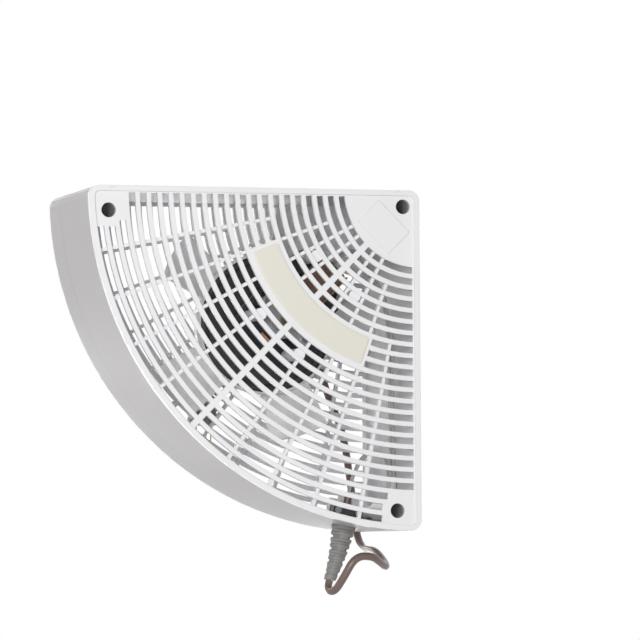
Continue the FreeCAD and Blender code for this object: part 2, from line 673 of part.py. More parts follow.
def make_shading_rings():
    rings = []
    for n, x in enumerate((-s.shade_reach, s.shade_reach)):
        room = "stack_thickness + 2 * shade_play"
        long = f"{room} + 2 * shade_bar"
        outer = motor_box(f"shade_outer_{n}", ("shade_bar", long, "shade_span + shade_bar"), (x, 0, 0))
        inner = motor_box(f"shade_inner_{n}", ("2 * shade_bar", room, "shade_span - shade_bar"), (x, 0, 0))
        rings.append(cut(f"shade_ring_{n}", outer, inner))
    piece(group("shade_ring_pair", *rings), "shading_rings")


LEG_MIDDLE = s.stack_reach - s.leg_width / 2


def make_winding():
    """Former round the leg of the core, and the wrapped winding on it."""
    build = "former_play + former_wall"
    length = "2 * former_half_length"

    def round_leg(extra, long):
        return f"leg_width + 2 * ({extra})", f"stack_thickness + 2 * ({extra})", long

    middle = (LEG_MIDDLE, 0, 0)
    end = s.former_half_length - s.former_wall / 2
    core = motor_box("former_core", round_leg(build, length), middle)
    flanges = [
        motor_box(f"former_flange_{n}", round_leg("flange_height", "former_wall"), (LEG_MIDDLE, 0, z))
        for n, z in enumerate((-end, end))
    ]
    hole = motor_box("former_hole", round_leg("former_play", f"2 * {length}"), middle)
    piece(cut("former_cut", fuse("former_solid", core, *flanges), hole), "motor_bobbin")
    wrapped = f"{length} - 2 * (former_wall + former_play)"
    block = motor_box("wrap_block", round_leg(f"{build} + coil_build", wrapped), middle)
    soft = rounded("wrap_rounded", block, s.coil_build * 0.8, MOTOR_TURN.multVec(Vector(0, 0, 1)))
    room = motor_box("wrap_room", round_leg(f"{build} + ring_play", length), middle)
    piece(cut("wrap_cut", soft, room), "motor_coil_wrap")


# Places along the shaft, from the middle of the stack
BUSH_START = STACK_REAR + s.cage_ring + s.washer_thickness + s.end_play
BAR_START = STACK_REAR + s.bracket_leg
BAR_END = BAR_START + s.bracket_bar
HUB_START = BAR_END + s.hub_gap
HUB_END = HUB_START + s.hub_depth


def make_bracket(node, sign):
    """Bar on two legs with a bearing boss; sign is -1 in front of the stack and 1 behind it."""
    leg_y = min(sign * STACK_REAR, sign * BAR_START)
    bar_y = min(sign * BAR_START, sign * BAR_END)
    boss_y = min(sign * BUSH_START, sign * BAR_END)
    solids = [motor_box(
        f"{node}_bar", ("bracket_width", "bracket_bar", "2 * (bracket_span + bracket_leg_radius)"),
        (0, bar_y + s.bracket_bar / 2, 0),
    )]
    boss_length = "bracket_leg + bracket_bar - cage_ring - washer_thickness - end_play"
    solids.append(cylinder(f"{node}_boss", "bracket_boss", boss_length, motor(0, boss_y, 0)))
    bore_place = motor(0, boss_y - s.bush_length / 2, 0)
    holes = [cylinder(f"{node}_bore", "bush_radius + ring_play", "2 * bush_length", bore_place)]
    hole_length = "2 * bracket_leg + bracket_bar"
    for n, z in enumerate((-s.bracket_span, s.bracket_span)):
        leg = cylinder(f"{node}_leg_{n}", "bracket_leg_radius", "bracket_leg", motor(0, leg_y, z))
        solids.append(leg)
        place = motor(0, leg_y - s.bracket_leg / 2, z)
        holes.append(cylinder(f"{node}_hole_{n}", "bracket_screw + screw_play", hole_length, place))
    piece(cut(f"{node}_cut", fuse(f"{node}_solid", *solids), *holes), node)


def tube(name, outer, inner, length, place):
    """A plain sleeve, washer or ring along the depth."""
    outside = cylinder(name + "_outside", outer, length, place)
    return cut(name, outside, cylinder(name + "_inside", inner, length, place))


def make_bearings():
    bore = "shaft_radius + bush_play"
    front = tube("front_sleeve", "bush_radius", bore, "bush_length", motor(0, -BUSH_START - s.bush_length, 0))
    rear = tube("rear_sleeve", "bush_radius", bore, "bush_length", motor(0, BUSH_START, 0))
    piece(front, "front_bush")
    piece(rear, "rear_bush")


def make_bracket_screws():
    """Two long screws through brackets and stack, their nuts behind the rear bracket."""
    shank = "stack_thickness + 2 * (bracket_leg + bracket_bar) + bracket_screw * 1.5"
    screws = []
    nuts = []
    for n, z in enumerate((-s.bracket_span, s.bracket_span)):
        place = motor(0, -BAR_END, z)
        stem = cylinder(f"bracket_stem_{n}", "bracket_screw", shank, place)
        head_place = motor(0, -BAR_END - s.bracket_screw * 1.5, z)
        head = cylinder(f"bracket_head_{n}", "bracket_screw * 1.9", "bracket_screw * 1.5", head_place)
        screws.append(fuse(f"bracket_screw_{n}", head, stem))
        nut = doc.addObject("Part::Prism", f"bracket_hexagon_{n}")
        nut.Polygon = 6
        nut.setExpression("Circumradius", bound("bracket_screw * 2"))
        nut.setExpression("Height", bound("bracket_screw * 1.5"))
        nut_place = motor(0, BAR_END, z)
        nut.Placement = Placement(nut_place, ALONG_Y)
        hole = cylinder(f"bracket_tap_{n}", "bracket_screw + thread_play", "bracket_screw * 2", nut_place)
        nuts.append(cut(f"bracket_nut_{n}", nut, hole))
    piece(group("bracket_screw_pair", *screws), "bracket_screws")
    piece(group("bracket_nut_pair", *nuts), "bracket_nuts")


def make_fixings():
    """Rubber grommets on the grille's posts, and the screws that hold the stack on them."""
    grommets = []
    screws = []
    for n, (x, z) in enumerate(FIXINGS):
        seat = motor(x, STACK_FRONT - s.grommet_thickness, z)
        hole = "fixing_radius + screw_play"
        grommets.append(tube(f"grommet_{n}", "post_radius", hole, "grommet_thickness", seat))
        start = motor(x, STACK_FRONT - s.grommet_thickness - s.fixing_bite, z)
        shank = "stack_thickness + grommet_thickness + fixing_bite"
        stem = cylinder(f"fixing_stem_{n}", "fixing_radius", shank, start)
        head_place = motor(x, STACK_REAR, z)
        head = cylinder(f"fixing_head_{n}", "fixing_radius * 2", "fixing_radius * 1.4", head_place)
        screws.append(fuse(f"fixing_screw_{n}", stem, head))
    piece(group("grommet_set", *grommets), "mount_grommets")
    piece(group("fixing_screw_set", *screws), "mount_screws")


def make_rotor():
    """What turns: cage rotor, shaft, washers, hub, blades and clip."""
    bore = "shaft_radius + bush_play"
    core = tube("rotor_sleeve", "rotor_radius", bore, "stack_thickness", motor(0, STACK_FRONT, 0))
    piece(core, "rotor_core")
    rings = [
        tube(f"cage_{n}", "rotor_radius - end_play", bore, "cage_ring", motor(0, y, 0))
        for n, y in enumerate((STACK_FRONT - s.cage_ring, STACK_REAR))
    ]
    piece(group("cage_pair", *rings), "cage_rings")
    washer_y = STACK_REAR + s.cage_ring
    washers = [
        tube(f"washer_{n}", "washer_radius", bore, "washer_thickness", motor(0, y, 0))
        for n, y in enumerate((-washer_y - s.washer_thickness, washer_y))
    ]
    piece(group("washer_pair", *washers), "thrust_washers")
    shaft_front = BUSH_START + s.bush_length
    hub_end = "stack_thickness / 2 + bracket_leg + bracket_bar + hub_gap + hub_depth"
    to_bush = "stack_thickness / 2 + cage_ring + washer_thickness + end_play + bush_length"
    shaft_length = f"{to_bush} + {hub_end} + clip_thickness + shaft_tail"
    piece(cylinder("shaft", "shaft_radius", shaft_length, motor(0, -shaft_front, 0)), "motor_shaft")
    cup = cylinder("hub_outside", "hub_radius", "hub_depth", motor(0, HUB_START, 0))
    hollow_place = motor(0, HUB_START + s.hub_wall, 0)
    room = tube("hub_room", "hub_radius - hub_wall", "hub_boss", "hub_depth", hollow_place)
    shaft_hole = cylinder("hub_bore", bore, "hub_depth", motor(0, HUB_START, 0))
    piece(cut("hub_cut", cup, room, shaft_hole), "fan_hub")
    piece(tube("clip", "hub_boss - end_play", bore, "clip_thickness", motor(0, HUB_END, 0)), "hub_clip")
    make_blade_ring()


def blade_section(reach, chord, pitch):
    """Curved section of a blade on a plane square to its length."""
    half = s.blade_thickness / 2
    turn = Rotation(Vector(1, 0, 0), pitch)
    lift = (-s.blade_camber / 2, s.blade_camber / 2, -s.blade_camber / 2)
    across = (-chord / 2, 0, chord / 2)

    def edge(offset):
        spots = [Vector(0, rise + offset, run) for run, rise in zip(across, lift)]
        return [turn.multVec(spot) + Vector(reach, 0, 0) for spot in spots]

    low = edge(-half)
    high = edge(half)
    return Part.Wire([
        Part.Arc(*low).toShape(), Part.LineSegment(low[2], high[2]).toShape(),
        Part.Arc(*reversed(high)).toShape(), Part.LineSegment(high[0], low[0]).toShape(),
    ])


def make_blade_ring():
    """Ring that sits on the hub, with twisted blades that end on one cylinder."""
    axis = Vector(0, 1, 0)
    start = Vector(0, -s.hub_depth / 2, 0)
    ring_inside = s.hub_radius + s.ring_play
    ring_outside = ring_inside + s.ring_wall
    sleeve = Part.makeCylinder(ring_outside, s.hub_depth, start, axis)
    blade = Part.makeLoft([
        blade_section(s.hub_radius * 0.8, s.root_chord, s.root_pitch),
        blade_section(s.tip_radius * 1.05, s.tip_chord, s.tip_pitch),
    ], True, True)
    tall = Vector(0, -s.tip_radius, 0)
    blade = blade.common(Part.makeCylinder(s.tip_radius, 2 * s.tip_radius, tall, axis))
    blade = blade.cut(Part.makeCylinder(ring_inside + s.ring_wall / 2, 2 * s.tip_radius, tall, axis))
    blades = []
    count = int(s.blade_count)
    for n in range(count):
        turned = blade.copy()
        turned.rotate(Vector(0, 0, 0), axis, 360 * n / count)
        blades.append(turned)
    bore = Part.makeCylinder(ring_inside, 2 * s.hub_depth, start * 2, axis)
    ring = sleeve.fuse(blades).cut(bore)
    middle = Placement(motor(0, (HUB_START + HUB_END) / 2, 0), UPRIGHT)
    piece(shaped("blade_set", ring, middle), "blade_ring")


def make_strain_relief():
    """Ribbed sleeve: tapered core and collars outside, neck and flange through the wall."""
    core = doc.addObject("Part::Cone", "relief_core")
    core.setExpression("Radius1", bound("relief_root - relief_rib_height"))
    core.setExpression("Radius2", bound("relief_tip - relief_rib_height"))
    core.setExpression("Height", bound("relief_length"))
    core.Placement = Placement(gland(0, 0, 0), GLAND_TURN)
    ribs = int(s.relief_ribs)
    pitch = s.relief_length / ribs
    solids = [core]
    for n in range(ribs):
        radius = f"relief_root - (relief_root - relief_tip) * {n} / relief_ribs"
        place = gland(0, 0, n * pitch)
        width = "relief_length / relief_ribs / 2"
        solids.append(cylinder(f"relief_rib_{n}", radius, width, place, GLAND_TURN))
    neck = "wall + screw_play + flange_thickness"
    flange_place = gland(0, 0, FLANGE_BACK)
    solids.append(cylinder("relief_neck", "gland_bore - ring_play", neck, flange_place, GLAND_TURN))
    solids.append(cylinder("relief_inner", "relief_flange", "flange_thickness", flange_place, GLAND_TURN))
    bore_place = gland(0, 0, -s.relief_length)
    bore = cylinder("relief_bore", "cord_radius + cord_play", "3 * relief_length", bore_place, GLAND_TURN)
    piece(cut("relief_cut", fuse("relief_solid", *solids), bore), "strain_relief")


def make_cord_clamp():
    """Held end of the cord, and the saddle that screws it to the casing's ledge."""
    inner_end = gland(0, 0, -s.tail_inside)
    tail = cylinder("tail", "cord_radius", "tail_inside + relief_length", inner_end, GLAND_TURN)
    piece(tail, "cord_tail")
    back = s.cord_radius + s.cord_play
    corner = gland(-s.clamp_half_length, CLAMP_FRONT, CLAMP_MIDDLE - s.clamp_width / 2)
    reach = "2 * (cord_radius + cord_play)"
    block = box("clamp_block", "2 * clamp_half_length", f"{reach} + wall", "clamp_width", corner, GLAND_TURN)
    channel_corner = gland(-back, -back, CLAMP_MIDDLE - s.clamp_width)
    channel = box("clamp_channel", reach, "4 * cord_radius", "2 * clamp_width", channel_corner, GLAND_TURN)
    holes = []
    screws = []
    for n, sign in enumerate((-1, 1)):
        place = gland(sign * s.clamp_screw_place, CLAMP_FRONT, CLAMP_MIDDLE)
        holes.append(cylinder(f"clamp_hole_{n}", "clamp_screw + thread_play", "4 * cord_radius", place))
        stem = cylinder(f"clamp_stem_{n}", "clamp_screw", "2 * cord_radius + 2 * wall", place)
        head_place = place - Vector(0, s.clamp_screw * 1.2, 0)
        head = cylinder(f"clamp_head_{n}", "clamp_screw * 1.9", "clamp_screw * 1.2", head_place)
        screws.append(fuse(f"clamp_screw_{n}", stem, head))
    piece(cut("clamp_cut", block, channel, *holes), "cord_clamp")
    piece(group("clamp_screw_pair", *screws), "clamp_screws")


def rounded_path(points):
    """Straight runs joined by tangent arcs, each arc as large as its two runs allow."""
    edges = []
    radii = []
    here = points[0]
    for before, corner, after in zip(points, points[1:], points[2:]):
        into = (corner - before)
        away = (after - corner)
        half_turn = into.getAngle(away) / 2
        reach = 0.45 * min(into.Length, away.Length)
        radius = reach / math.tan(half_turn)
        start = corner - into.normalize() * reach
        stop = corner + away.normalize() * reach
        inward = (away - into).normalize()
        middle = corner + inward * (radius / math.cos(half_turn) - radius)
        edges.append(Part.LineSegment(here, start).toShape())
        edges.append(Part.Arc(start, middle, stop).toShape())
        radii.append(radius)
        here = stop
    edges.append(Part.LineSegment(here, points[-1]).toShape())
    return Part.Wire(edges), radii


def swept(path, radius, start, direction):
    """Round tube along a path."""
    ring = Part.Wire(Part.makeCircle(radius, start, direction))
    tube_shape = path.makePipeShell([ring], True, False)
    expected = math.pi * radius ** 2 * path.Length
    if abs(tube_shape.Volume / expected - 1) > 0.01:
        raise ValueError(f"tube volume {tube_shape.Volume:.0f}, expected {expected:.0f}")
    return tube_shape


def cord_tube(points, radius):
    path, radii = rounded_path(points)
    return swept(path, radius, points[0], points[1] - points[0]), path.Length, radii


# Crimp caps against the jamb wall, open end up, one lead pair in each
CAP_X = s.side / 2 - s.wall - s.cap_radius - s.screw_play
CAP_SPREAD = s.cap_radius + s.screw_play * 2
CAP_TOP = -(s.side - s.well_end) + s.well_bore + s.well_wall + s.cap_length + s.cap_radius
LEAD_PLACE = s.lead_radius + s.screw_play / 2
GLAND_Y = FRONT + s.gland_depth


def make_wiring():
    """Supply leads from the cord to the caps, and motor leads from the caps to the winding."""
    supply = []
    feed = []
    caps = []
    wrap_face = s.stack_reach + s.former_play + s.former_wall + s.coil_build
    for n, sign in enumerate((-1, 1)):
        lane = GLAND_Y + sign * CAP_SPREAD
        caps.append(cylinder(f"cap_{n}", "cap_radius", "cap_length",
                             Vector(CAP_X, lane, CAP_TOP - s.cap_length), UPRIGHT))
        left = CAP_X - LEAD_PLACE
        start = gland(0, sign * LEAD_PLACE, -s.tail_inside)
        route = [
            start, start + GLAND_TURN.multVec(Vector(0, 0, -14)), Vector(left - 20, lane, CAP_TOP + 22),
            Vector(left - 3, lane, CAP_TOP + 18), Vector(left, lane, CAP_TOP + 7),
            Vector(left, lane, CAP_TOP),
        ]
        supply.append(cord_tube(route, s.lead_radius)[0])
        right = CAP_X + LEAD_PLACE
        end = motor(wrap_face, sign * CAP_SPREAD, 0)
        lead_out = motor(wrap_face + 14, sign * CAP_SPREAD, 0)
        drift = STACK_MIDDLE - GLAND_Y
        route = [
            Vector(right, lane, CAP_TOP), Vector(right, lane, CAP_TOP + 28),
            Vector(right - 1, lane + 0.15 * drift, CAP_TOP + 70),
            Vector(right - 0.5, lane + 0.5 * drift, -130),
            Vector(right - 7, lane + drift, -84), lead_out + Vector(20, 0, -9),
            lead_out + Vector(9, 0, 6), lead_out, end,
        ]
        feed.append(cord_tube(route, s.lead_radius)[0])
    piece(shaped("supply_lead_pair", Part.makeCompound(supply)), "supply_leads")
    piece(shaped("motor_lead_pair", Part.makeCompound(feed)), "motor_leads")
    piece(group("cap_pair", *caps), "wire_caps")


# Put-away cord: a flat round coil on the rear grille, its tie through two ring slots
COIL_LAYERS = 4
COIL_TRIM = 0.25
TIE_LEGS = [
    s.slot_start + slot * s.slot_pitch + s.slot_width / 2
    for slot in (s.tie_slot, s.tie_slot + s.tie_slots_spanned)
]
COIL_ANGLE = 45 + s.rib_step / 2
COIL_FRONT = REAR + s.coil_rest + s.cord_radius
COIL_MIDDLE = polar(sum(TIE_LEGS) / 2 - s.coil_mean, COIL_ANGLE, COIL_FRONT)
COIL_TURNS = COIL_LAYERS * s.coil_leg - 2 * COIL_TRIM
END_RUN = 2 * s.cord_radius
FIRST_RUN = 16


def coil_point(turns):
    """Place on the coil: its spiral runs in and out, and climbs in the half turn about each reversal."""
    travelled = turns + COIL_TRIM
    leg = min(int(travelled / s.coil_leg), COIL_LAYERS - 1)
    along = travelled - leg * s.coil_leg
    inward = s.coil_leg / 2 - along
    radius = s.coil_mean + s.coil_pitch * (inward if leg % 2 == 0 else -inward)
    level = leg
    if leg > 0 and along < COIL_TRIM:
        level -= 0.5 - 0.5 * math.sin(math.pi * along / (2 * COIL_TRIM))
    if leg < COIL_LAYERS - 1 and s.coil_leg - along < COIL_TRIM:
        level += 0.5 - 0.5 * math.sin(math.pi * (s.coil_leg - along) / (2 * COIL_TRIM))
    turn = 2 * math.pi * turns
    return COIL_MIDDLE + Vector(radius * math.cos(turn), level * s.coil_pitch, radius * math.sin(turn))


def coil_direction(turns):
    step = 0.001
    return (coil_point(turns + step) - coil_point(turns - step)).normalize()


def arc_from(start, direction, stop):
    """Circular arc that leaves a point along a direction and ends at another point."""
    chord = stop - start
    half_turn = direction.getAngle(chord)
    side_way = chord * (1 / chord.Length)
    normal = (direction - side_way * direction.dot(side_way)).normalize()
    middle = (start + stop) * 0.5 + normal * (chord.Length / 2 * math.tan(half_turn / 2))
    return Part.Arc(start, middle, stop).toShape()


def biarc(start, leave, stop, arrive):
    """Two arcs that join two points along given directions and meet smoothly."""
    chord = stop - start
    both = leave + arrive
    spread = 2 * (1 - leave.dot(arrive))
    reach = (-chord.dot(both) + math.sqrt(chord.dot(both) ** 2 + spread * chord.dot(chord))) / spread
    meet = (start + leave * reach + stop - arrive * reach) * 0.5
    back = arc_from(stop, arrive * -1, meet)
    return [arc_from(start, leave, meet), back]


def make_coil():
    """One unbroken tube, a quarter turn to each pair of arcs, with straight ends."""
    quarters = round(COIL_TURNS * 4)
    spots = [coil_point(n / 4) for n in range(quarters + 1)]
    ways = [coil_direction(n / 4) for n in range(quarters + 1)]
    up = Vector(0, 0, 1)
    ways[0] = up
    ways[-1] = up * (1 if round(COIL_TURNS * 2) % 2 == 0 else -1)
    entry = spots[0] - ways[0] * END_RUN
    leaving = spots[-1] + ways[-1] * END_RUN
    edges = [Part.LineSegment(entry, spots[0]).toShape()]
    for n in range(quarters):
        edges += biarc(spots[n], ways[n], spots[n + 1], ways[n + 1])
    edges.append(Part.LineSegment(spots[-1], leaving).toShape())
    path = Part.Wire(Part.__sortEdges__(edges))
    coil = swept(path, s.cord_radius, entry, ways[0])
    per_quarter = 12
    samples = [coil_point(n / 4 / per_quarter) for n in range(quarters * per_quarter + 1)]
    least = min(
        (samples[i] - samples[j]).Length
        for i in range(len(samples))
        for j in range(i + 2 * per_quarter, len(samples))
    )
    print(f"coil: {COIL_TURNS} turns, {path.Length:.0f} mm, least gap {least - 2 * s.cord_radius:.2f} mm")
    piece(shaped("coil", coil), "cord_coil")
    return entry, leaving, ways[-1], path.Length


def make_cord():
    """Free stretch of the cord: fold below the strain relief, a hump, then up behind the casing."""
    entry, leaving, way, coil_length = make_coil()
    tip = gland(0, 0, s.relief_length)
    low_end = Vector(s.side / 2, REAR, -s.side)
    route = [
        tip, gland(0, 0, s.relief_length + FIRST_RUN),
        tip + Vector(2.5, -16, -17), tip + Vector(7, -23, 5), tip + Vector(12.5, -26.5, 21.5),
        tip + Vector(26, -23.5, 20.5), tip + Vector(36, -12, 15), tip + Vector(47, 4, 11),
        tip + Vector(51, 26, 17), tip + Vector(51, 50, 26),
        low_end + Vector(-6.5, 2, -14), low_end + Vector(-7.5, 14.5, 0), low_end + Vector(-9.5, 16, 24),
        low_end + Vector(-14, 12.5, 52), low_end + Vector(-20.5, 9, 86), low_end + Vector(-35, 5.6, 117),
        entry - Vector(0, 0, 24), entry,
    ]
    lead, length, radii = cord_tube(route, s.cord_radius)
    print("cord radii", [round(radius, 1) for radius in radii])
    print(f"cord: {length:.0f} mm free, {coil_length:.0f} mm coiled, {s.tail_length:.0f} mm to the plug")
    piece(shaped("cord_lead", lead), "power_cord")
    tail_turn = Rotation(Vector(0, 0, 1), way)
    piece(cylinder("plug_tail", "cord_radius", "tail_length", leaving, tail_turn), "plug_lead")
    make_plug(leaving + way * s.tail_length, tail_turn)


def make_plug(place, turn):
    """Moulded two-pin plug at the end of the cord, its length along the cord."""
    frame = Placement(place, turn)
    corner = frame.multVec(Vector(-s.plug_width / 2, -s.plug_thickness / 2, 0))
    block = box("plug_block", "plug_width", "plug_thickness", "plug_length", corner, turn)
    body = rounded("plug_rounded", block, s.plug_rounding, Vector(0, 0, 1))
    piece(body, "plug_body")
    pins = []
    for n, sign in enumerate((-1, 1)):
        middle = sign * s.pin_spacing / 2 - s.pin_thickness / 2
        pin_corner = frame.multVec(Vector(middle, -s.pin_width / 2, s.plug_length))
        pins.append(box(f"plug_pin_{n}", "pin_thickness", "pin_width", "pin_length", pin_corner, turn))
    piece(group("plug_pin_pair", *pins), "plug_pins")


def make_tie():
    """Strap round the coil that passes behind the rings of the rear grille through two slots."""
    turn = Rotation(Vector(0, 1, 0), 180 - COIL_ANGLE)
    inner, outer = TIE_LEGS
    inside = REAR - s.grille_layer - s.tie_thickness
    across = turn.multVec(Vector(0, 0, s.tie_width / 2))
    span = "tie_slots_spanned * slot_pitch + tie_thickness"
    coil_height = f"2 * cord_radius + {COIL_LAYERS - 1} * coil_pitch"
    room_height = f"grille_layer + 2 * coil_rest + {coil_height}"
    start = polar(inner - s.tie_thickness / 2, COIL_ANGLE, inside) - across
    strap = box("tie_outside", span, f"{room_height} + 2 * tie_thickness", "tie_width", start, turn)
    room_start = polar(inner + s.tie_thickness / 2, COIL_ANGLE, inside + s.tie_thickness) - across * 2
    room = box("tie_inside", f"{span} - 2 * tie_thickness", room_height, "2 * tie_width", room_start, turn)
    piece(cut("tie_cut", strap, room), "cord_tie")


# Build every piece
make_casing()
make_front_grille()
make_rear_grille()
make_label()
make_grille_screws()
make_stack()
make_shading_rings()
make_winding()
make_bracket("front_bracket", -1)
make_bracket("rear_bracket", 1)
make_bearings()
make_bracket_screws()
make_fixings()
make_rotor()
make_strain_relief()
make_cord_clamp()
make_wiring()
make_cord()
make_tie()


# Check every object and write each sub-part
doc.recompute()
for item in doc.Objects:
    if "Invalid" in item.State or "Error" in item.State:
        raise ValueError(f"{item.Label} failed: {item.State}")
for item in pieces:
    if item.Shape.isNull() or not item.Shape.isValid():
        raise ValueError(f"{item.Label} has no valid shape")
os.makedirs("parts", exist_ok=True)
for item in pieces:
    item.Shape.exportStep(f"parts/{item.Label}.step")
    print(f"{item.Label}: {len(item.Shape.Solids)} solids, {item.Shape.Volume:.0f} mm3")
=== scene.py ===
# %% [markdown]
# # Doorway fan
# A quarter-round fan that screws into the upper corner of a door opening. The solids arrive as a
# fixed frame, already in place and to size. This lesson gives each of them its finish, and replaces
# the cord, the soft pieces and a few mouldings with finer surfaces worked out with numpy.

# %% Load the frame
import math

import bmesh
import bpy
import numpy as np
from mathutils import Matrix, Vector


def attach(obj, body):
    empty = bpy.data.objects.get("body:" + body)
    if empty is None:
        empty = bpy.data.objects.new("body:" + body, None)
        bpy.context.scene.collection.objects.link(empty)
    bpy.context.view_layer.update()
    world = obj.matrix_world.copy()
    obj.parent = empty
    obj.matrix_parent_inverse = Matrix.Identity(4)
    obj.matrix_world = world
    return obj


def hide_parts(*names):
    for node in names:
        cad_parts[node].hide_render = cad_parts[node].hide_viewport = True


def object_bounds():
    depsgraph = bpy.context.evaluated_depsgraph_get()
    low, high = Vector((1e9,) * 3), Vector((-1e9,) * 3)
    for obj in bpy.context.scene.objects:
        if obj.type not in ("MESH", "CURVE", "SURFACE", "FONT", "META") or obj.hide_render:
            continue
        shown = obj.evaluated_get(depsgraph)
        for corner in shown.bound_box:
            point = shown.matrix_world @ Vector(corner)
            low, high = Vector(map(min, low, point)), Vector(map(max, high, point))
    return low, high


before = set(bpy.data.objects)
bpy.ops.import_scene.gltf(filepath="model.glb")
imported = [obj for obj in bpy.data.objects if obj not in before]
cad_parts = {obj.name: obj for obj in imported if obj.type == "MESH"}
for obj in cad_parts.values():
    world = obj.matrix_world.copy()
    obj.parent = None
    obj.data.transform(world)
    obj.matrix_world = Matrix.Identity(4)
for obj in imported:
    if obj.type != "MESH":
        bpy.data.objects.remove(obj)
cad_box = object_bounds()
scene = bpy.context.scene
MM = 0.001


def in_mm(box):
    """Both corners of a box, in whole millimetres."""
    return [round(x / MM) for corner in box for x in corner]


print("frame:", len(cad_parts), "nodes, box in mm", in_mm(cad_box))

# %% [markdown]
# ## Camera
# The photograph looks at the fan from the left and a little below. How long its lens was can't be told
# from it, and a long one is used here. A camera could be aimed with a Track To constraint, but the
# small roll of the picture would be lost, so the three axes of its matrix are worked out from yaw,
# pitch and roll.

# %% Camera
FOCAL_PIXELS = 4500
PICTURE_PIXELS = 640
SENSOR = 36
YAW, PITCH, ROLL = (math.radians(angle) for angle in (17.24, 3.04, -0.4))
STAND = Vector((-1034.5, -3577.1, -302.6)) * MM

forward = Vector((
    math.sin(YAW) * math.cos(PITCH),
    math.cos(YAW) * math.cos(PITCH),
    math.sin(PITCH),
))
level = Vector((math.cos(YAW), -math.sin(YAW), 0))
above = level.cross(forward)
right = level * math.cos(ROLL) + above * math.sin(ROLL)
up = above * math.cos(ROLL) - level * math.sin(ROLL)
lens = bpy.data.cameras.new("photo_view")
lens.sensor_width = SENSOR
lens.lens = SENSOR * FOCAL_PIXELS / PICTURE_PIXELS
camera = bpy.data.objects.new("photo_view", lens)
facing = Matrix((right, up, -forward)).transposed().to_4x4()
camera.matrix_world = Matrix.Translation(STAND) @ facing
scene.collection.objects.link(camera)
scene.camera = camera
print(f"camera: {lens.lens:.1f} mm lens")

# %% [markdown]
# ## Power cord
# The cord leaves the ribbed sleeve under the curved wall, folds back on itself and runs behind the
# casing, where the length that isn't in use is wound into a round coil on the rear grille. A cord is
# one smooth line, so it is a single NURBS spline: the route's points are its control points, and the
# coil's turns are more of them, sixteen to a turn.

# %% Cord
SIDE = 280
HALF_SIDE = 140
REAR = 70
CORNER = np.array([HALF_SIDE, 0, 0])
LOW_END = np.array([HALF_SIDE, REAR, -SIDE])
GLAND = np.array([91.5, -10, -275.77])
GLAND_OUT = (GLAND - CORNER) * (1, 0, 1) / SIDE
GLAND_SIDE = np.array([GLAND_OUT[2], 0, -GLAND_OUT[0]])
SLEEVE = 46
SLEEVE_SAG = 4.5
TIP = GLAND + SLEEVE * GLAND_OUT
SAGGED_TIP = TIP + SLEEVE_SAG * GLAND_SIDE
SAGGED_OUT = GLAND_OUT + 2 * SLEEVE_SAG / SLEEVE * GLAND_SIDE
CORD_RADIUS = 3.25
COIL_MIDDLE = np.array([48.255, 73.75, -106.475])
COIL_MEAN = 38
COIL_PITCH = 7
COIL_LEG = 3.5
COIL_LAYERS = 4
COIL_TRIM = 0.25
COIL_TURNS = COIL_LAYERS * COIL_LEG - 2 * COIL_TRIM
COIL_START = COIL_MIDDLE + (COIL_MEAN + COIL_PITCH * (COIL_LEG / 2 - COIL_TRIM), 0, 0)
POINTS_PER_TURN = 16
PLUG_RUN = (6.5, 52.5)
ROUTE = [
    SAGGED_TIP, SAGGED_TIP + 7.5 * SAGGED_OUT,
    TIP + (-5, -14, -9.5), TIP + (1, -22, 3), TIP + (10, -26, 20.5), TIP + (26, -23.5, 20.5),
    TIP + (36, -12, 15), TIP + (47, 4, 11), TIP + (51, 26, 17), TIP + (51, 50, 26),
    LOW_END + (-6.5, 2, -14), LOW_END + (-7.5, 14.5, 0), LOW_END + (-9.5, 16, 24),
    LOW_END + (-14, 12.5, 52), LOW_END + (-20.5, 9, 86), LOW_END + (-35, 5.6, 117),
    COIL_START - (0, 0, 30.5), COIL_START - (0, 0, 6.5),
]


def coil_points():
    """Spiral that runs in and out by turns, and climbs a layer in the half turn about each reversal."""
    turns = np.arange(round(COIL_TURNS * POINTS_PER_TURN) + 1) / POINTS_PER_TURN
    travelled = turns + COIL_TRIM
    leg = np.minimum(travelled // COIL_LEG, COIL_LAYERS - 1)
    along = travelled - leg * COIL_LEG
    inward = COIL_LEG / 2 - along
    radius = COIL_MEAN + COIL_PITCH * np.where(leg % 2 == 0, inward, -inward)
    quarter = math.pi / (2 * COIL_TRIM)

    def half_layer(reverses, gap):
        """Half a layer at a reversal, easing along a sine to none where the gap reaches the trim."""
        return np.where(reverses & (gap < COIL_TRIM), 0.5 - 0.5 * np.sin(quarter * gap), 0)

    after = half_layer(leg > 0, along)
    before = half_layer(leg < COIL_LAYERS - 1, COIL_LEG - along)
    turn = 2 * math.pi * turns
    lift = (leg - after + before) * COIL_PITCH
    return COIL_MIDDLE + np.stack([radius * np.cos(turn), lift, radius * np.sin(turn)], axis=1)


coil = coil_points()
cord_end = [coil[-1] - np.array([0, 0, run]) for run in PLUG_RUN]
cord_points = np.concatenate([ROUTE, coil, cord_end])


def tube(name, *lines, radius):
    """Round tube along one or more NURBS lines, whose control points are given in millimetres."""
    curve = bpy.data.curves.new(name, "CURVE")
    curve.dimensions = "3D"
    curve.bevel_depth = 1
    curve.bevel_resolution = 6
    curve.resolution_u = 6
    curve.use_fill_caps = True
    for points in lines:
        spline = curve.splines.new("NURBS")
        spline.points.add(len(points) - 1)
        weighted = np.column_stack([points * MM, np.ones(len(points))])
        spline.points.foreach_set("co", weighted.ravel())
        spline.points.foreach_set("radius", np.full(len(points), radius * MM))
        spline.order_u = 3
        spline.use_endpoint_u = True
    made = bpy.data.objects.new(name, curve)
    scene.collection.objects.link(made)
    return made


